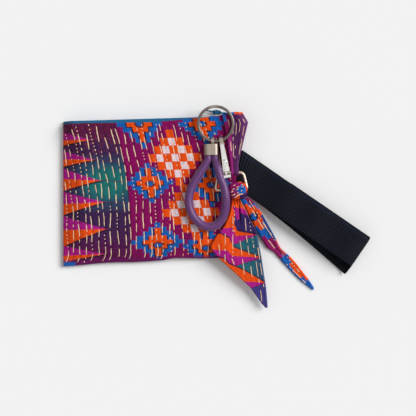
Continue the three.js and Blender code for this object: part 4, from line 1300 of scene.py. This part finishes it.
def rounded_path(corners, radii, steps):
    """A closed outline with rounded corners."""
    corners = np.array(corners, float)
    points = []
    for i, here in enumerate(corners):
        back = units(corners[i - 1] - here)
        onward = units(corners[(i + 1) % len(corners)] - here)
        reach = radii[i] / math.tan(math.acos(float(back @ onward)) / 2)
        start, end = here + back * reach, here + onward * reach
        for t in np.linspace(0, 1, steps):
            points.append((1 - t) ** 2 * start + 2 * t * (1 - t) * here + t**2 * end)
    return np.array(points)


def d_ring_wire():
    middle = joint_place("d_ring_lift")[0]
    base = BAR_Y - D_RING_HEIGHT
    path = rounded_path(
        [(middle - D_RING_BASE / 2, base), (middle + D_RING_BASE / 2, base),
         (middle + D_RING_TOP / 2, BAR_Y), (middle - D_RING_TOP / 2, BAR_Y)],
        [D_RING_FOOT_CORNER, D_RING_FOOT_CORNER, D_RING_CORNER, D_RING_CORNER], D_RING_CORNER_STEPS)
    path = at(path[:, 0], path[:, 1], BAR_Z)
    points, faces = tube_mesh(path, WIRE_RADIUS - WIRE_SLACK, D_RING_SIDES, endless=True)
    piece = make("d_ring_wire", points, faces, PALE_NICKEL, "d_ring", "pale_nickel")
    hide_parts("d_ring")


def swollen(wave, power):
    """A wave that a power makes squarer."""
    return np.sign(wave) * np.abs(wave) ** power


def key_ring_wire():
    """Two turns of flattened wire that step over one another."""
    low, high = node_box("key_ring")
    middle = (low + high) / 2
    ring = (high[0] - low[0] - RING_WIRE_WIDTH) / 2
    turn = np.linspace(0, 2 * np.pi * KEY_RING_TURNS, KEY_RING_STEPS)[:, None]
    step = np.clip((turn - 2 * np.pi + KEY_RING_JOG) / KEY_RING_JOG, 0, 1)
    climb = step * step * (3 - 2 * step)
    z = middle[2] + (RING_WIRE_HEIGHT + TOUCH_GAP) * (climb - 0.5)
    around = circle(KEY_RING_SIDES)
    side = ring + swollen(np.cos(around), 0.6) * RING_WIRE_WIDTH / 2
    up = swollen(np.sin(around), 0.75) * RING_WIRE_HEIGHT / 2
    angle = turn + math.radians(KEY_RING_START)
    points = at(middle[0] + side * np.cos(angle), middle[1] + side * np.sin(angle), z + up).reshape(-1, 3)
    faces = tube_faces(points, KEY_RING_STEPS, KEY_RING_SIDES)
    piece = make("key_ring_wire", points, faces, RING_STEEL, "key_ring", "ring_steel")
    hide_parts("key_ring")


def braid(around, along):
    """The relief of a tubular braid: two sets of strands that cross."""
    one = np.abs(np.sin(6 * around + along * BRAID_TWIST))
    other = np.abs(np.sin(6 * around - along * BRAID_TWIST))
    return 0.11 * np.maximum(one, other) - 0.08


def fob_loop():
    low, high = node_box("fob_cap")
    mouth = np.array([(low[0] + high[0]) / 2, low[1], low[2] + CAP_HALF])
    path = smooth_curve(np.array(CORD_POINTS) + mouth, CORD_STEPS)
    share = np.linspace(0, 1, CORD_STEPS)[:, None]
    swell = CORD_SWELL * np.clip(share / 0.12, 0, 1) * np.clip((1 - share) / 0.3, 0, 1) ** 0.6

    def relief(around, along):
        return braid(around, along) + swell

    points, faces = tube_mesh(path, CORD_RADIUS, CORD_SIDES, relief)
    reach = reach_of(path)
    maps = at(circle(CORD_SIDES) * CORD_RADIUS, reach[:, None]).reshape(-1, 2)
    piece = make("braided_loop", points, faces, BRAID, "fob", "braided_cord", maps)
    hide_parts("fob_cord")


for nodes, material, bevel in (
        (("zip_end_tab_left", "zip_end_tab_right"), NODE_TAPE, 0),
        (("zip_teeth_front", "zip_teeth_back"), TEETH, 0.08),
        (("zip_bottom_stop", "zip_top_stop", "zip_slider", "zip_slider_back", "zip_pull"), NICKEL, 0.12),
        (("clasp_body",), POLISHED, 0.3),
        (("clasp_gate", "clasp_gate_pin", "clasp_spring"), POLISHED, 0.08),
        (("fob_cap",), SATIN, 0.3)):
    for node in nodes:
        dress(node, material, bevel)
d_ring_wire()
key_ring_wire()
fob_loop()


# Scarf


def tail_sides(rows, y):
    """A tail's left edge, right edge and underside at height y, with its corners eased."""
    table = np.array(rows[::-1])
    return [np.mean([np.interp(y + shift, table[:, 0], table[:, k]) for shift in (-1.2, 0, 1.2)], axis=0)
            for k in (1, 2, 3)]


def tail_shares(rows, x, y):
    """How far across a tail a place lies and how far down it, and the tail's rolled hems there."""
    left, right, under = tail_sides(rows, y)
    inset = np.minimum(x - left, right - x)
    hem = 0.4 * np.exp(-((inset - 1.3) / 0.9) ** 2) - 0.5 * np.exp(-((inset / 0.7) ** 2))
    return (x - left) / (right - left), (rows[0][0] - y) / (rows[0][0] - rows[-1][0]), under + hem


def crease_x(y):
    return np.interp(y, [-66, -56, -44, -34, -20], [57.5, 62, 64.1, 66.8, 66.4])


def wide_top(x, y):
    share, down, under = tail_shares(WIDE_TAIL, x, y)
    pleat = 1.3 * (0.5 + 0.5 * np.sin(19 * share + 0.6)) * np.clip(1 - down / 0.36, 0, 1)
    fold = 1.1 * np.clip((crease_x(y) - x) / 1.4 + 0.5, 0, 1)
    fold = fold * np.clip(down / 0.1, 0, 1) * np.clip((70 + y) / 14, 0, 1)
    wave = 0.45 * np.sin(x * 0.22 + y * 0.1) * np.sin(np.pi * np.clip(down, 0, 1))
    ripple = 0.1 * np.sin(x * 1.5 + np.sin(y * 0.4)) * np.clip(down / 0.2, 0, 1)
    neck = -1.3 * np.exp(-((x - NECK_CREASE) / 0.7) ** 2) * np.clip((y + 34) / 10, 0, 1)
    return under + 1.5 + pleat + fold + wave + ripple + neck


def narrow_top(x, y):
    share, down, under = tail_shares(NARROW_TAIL, x, y)
    pinch = np.exp(-((y - PINCH_Y) / 9) ** 2)
    pleat = (0.7 + 0.8 * pinch) * (0.5 + 0.5 * np.sin(10.5 * share - 0.8))
    ripple = 0.1 * np.sin(x * 1.7 + y * 0.3)
    crown = 1.1 * np.sin(np.pi * np.clip(share, 0, 1)) * np.clip(1.1 - down, 0, 1)
    return under + 1.2 + pleat * np.clip(1.15 - down, 0.2, 1) + crown + ripple


def wide_place(x, y):
    """Where the wide tail's cloth was printed: beyond the crease it lies shifted."""
    beyond = np.clip((crease_x(y) - x) / 5 + 0.6, 0, 1) * np.clip((-24 - y) / 8, 0, 1)
    return x, y - np.interp(y, [-60, -38], [3.2, 7.5]) * beyond


def narrow_place(x, y):
    """Across and along the narrow tail, from its knot."""
    right, down = x - NARROW_START[0], NARROW_START[1] - y
    turn = math.radians(NARROW_LEAN)
    return right * math.cos(turn) - down * math.sin(turn), right * math.sin(turn) + down * math.cos(turn)


def tail_cloth(name, node, body, rows, height, placing, material, size):
    u, v = grid(*size)
    y = rows[0][0] + (rows[-1][0] - rows[0][0]) * v
    left, right, under = tail_sides(rows, y)
    x = left + (right - left) * crowd(u)
    top = height(x, y)
    thin = np.clip(0.75 - np.minimum(x - left, right - x) / 2, 0, 0.6)
    sides = at(x, y, top), at(x, y, np.minimum(under + thin, top - 0.5))
    return cloth_piece(name, [node], *sides, material, body, "scarf_cotton", both_sides(*placing(x, y)))


def tail_stitches(name, body, height, rows, lines):
    """Running stitches along straight lines on a tail: each line from x, y to x, y."""
    paths = []
    for x0, y0, x1, y1 in lines:
        length = math.hypot(x1 - x0, y1 - y0)
        for reach in dashes(0, length, TAIL_RUNS):
            share = reach / length
            x, y = x0 + (x1 - x0) * share, y0 + (y1 - y0) * share
            left, right, _ = tail_sides(rows, y)
            if ((x >= left + 1) & (x <= right - 1)).all():
                paths.append((at(x, y, height(x, y)), UP))
    stitch_mesh(name, paths, body, "scarf_cotton", half=0.38, rise=0.22)


def knot_surface(turn, rise):
    """The knot's surface by two angles: a full, slightly square ball with slanting folds."""
    plan, side, top = KNOT_POWERS
    ring = swollen(np.cos(rise), side)
    x, y = swollen(np.cos(turn), plan) * ring, swollen(np.sin(turn), plan) * ring
    place = at(x, y, swollen(np.sin(rise), top)) * KNOT_RADII
    return KNOT_CENTRE + place * knot_size(place[..., 0], place[..., 1])[..., None]


def knot_size(x, y):
    """How far the knot's folds swell and sink, at x and y from its middle."""
    across = -x * math.sin(KNOT_SLANT) + y * math.cos(KNOT_SLANT)
    folds = sum(0.1 * np.exp(-((across - line) / 0.5) ** 2) for line in KNOT_FOLDS)
    return 1.0 + 0.02 * np.sin(across * 2.2 + x * 0.4) - folds


def knot_top(x, y):
    """The knot's upper side at x and y from its middle, and its way up there."""
    plan, side, top = KNOT_POWERS
    size = knot_size(x, y)
    square = np.abs(x / KNOT_RADII[0] / size) ** (2 / plan) + np.abs(y / KNOT_RADII[1] / size) ** (2 / plan)
    ring = np.minimum(square ** (plan / 2), 0.995)
    z = (1 - ring ** (2 / side)) ** (top / 2) * KNOT_RADII[2] * size
    return KNOT_CENTRE + at(x, y, z), units(at(x * ring, y * ring, z) / KNOT_RADII**2)


def scarf_knot():
    rise = np.linspace(-0.5, 0.5, KNOT_RINGS + 1)[1:-1, None] * np.pi
    points = knot_surface(circle(KNOT_SIDES), rise).reshape(-1, 3)
    faces = tube_faces(points, len(rise), KNOT_SIDES)
    piece = make("scarf_knot_cloth", points, faces, KNOT_COTTON, "d_ring", "scarf_cotton", points[:, :2])
    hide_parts("scarf_knot")


def knot_stitches():
    paths = []
    for line in KNOT_ROWS:
        for along in dashes(-7.5, 6.5, KNOT_RUNS, least=6):
            x = along * math.cos(KNOT_SLANT) - line * math.sin(KNOT_SLANT)
            y = along * math.sin(KNOT_SLANT) + line * math.cos(KNOT_SLANT)
            if (np.hypot(x / KNOT_RADII[0], y / KNOT_RADII[1]) <= 0.93).all():
                paths.append(knot_top(x, y))
    stitch_mesh("knot_stitches", paths, "d_ring", "scarf_cotton", half=0.4, rise=0.26)
    lip = smooth_curve([(x, y, 0) for x, y in KNOT_LIP], 30) - KNOT_CENTRE
    stitch_mesh("knot_lip", [knot_top(lip[:, 0], lip[:, 1])], "d_ring", "scarf_cotton", half=0.6, rise=0.4)


wide_tail = tail_cloth("wide_tail_cloth", "scarf_wide_tail", "wide_tail", WIDE_TAIL, wide_top, wide_place,
                       WIDE_COTTON, WIDE_GRID)
narrow_tail = tail_cloth("narrow_tail_cloth", "scarf_narrow_tail", "narrow_tail", NARROW_TAIL, narrow_top,
                         narrow_place, NARROW_COTTON, NARROW_GRID)
tail_stitches("wide_tail_stitches", "wide_tail", wide_top, WIDE_TAIL, WIDE_LINES)
tail_stitches("narrow_tail_stitches", "narrow_tail", narrow_top, NARROW_TAIL, NARROW_LINES)
scarf_knot()
knot_stitches()


# Camera and light, and the floor that the pouch lies on


def camera():
    data = bpy.data.cameras.new("camera")
    data.lens = LENS
    data.sensor_width = SENSOR
    data.clip_end = 10
    eye = bpy.data.objects.new("camera", data)
    eye.location = Vector(VIEW_CENTRE) * MM + Vector((0, 0, VIEW_WIDTH * LENS / SENSOR * MM))
    eye.rotation_euler = (0, 0, math.radians(VIEW_TURN))
    bpy.context.scene.collection.objects.link(eye)
    bpy.context.scene.camera = eye


def sun():
    data = bpy.data.lights.new("key", "SUN")
    data.energy = SUN_STRENGTH
    data.angle = math.radians(SUN_WIDTH)
    lamp = bpy.data.objects.new("key", data)
    lamp.rotation_euler = Vector(SUN_FROM).to_track_quat("Z", "Y").to_euler()
    bpy.context.scene.collection.objects.link(lamp)


def world():
    """An even white sky. What mirrors it sees a studio that is brighter above and to the right."""
    sky = bpy.data.worlds.new("studio")
    bpy.context.scene.world = sky
    sky.use_nodes = True
    background = sky.node_tree.nodes["Background"]
    mirrored = Wire(new_node(background, "LightPath").outputs["Is Glossy Ray"])
    sideways, _, height = parts_of(new_node(background, "TexCoord").outputs["Generated"])
    bright = 0.26 + clamped(height * 1.6 - 0.2) * (0.45 + clamped(sideways * 1.6 + 0.35) * 0.5)
    feed(background.inputs["Color"], (1, 1, 1, 1))
    feed(background.inputs["Strength"], mirrored * bright + (1 - mirrored) * SKY_STRENGTH)


def floor():
    half = 1500
    material, shader = new_material("pale floor", 0.9, 0.0)
    feed(shader.inputs["Base Color"], srgb(241, 241, 241))
    corners = [(-half, -half, 0), (half, -half, 0), (half, half, 0), (-half, half, 0)]
    make("floor", corners, [(0, 1, 2, 3)], material, None, None, smooth=False)


camera()
sun()
world()
floor()
bpy.context.scene.view_settings.view_transform = "Standard"
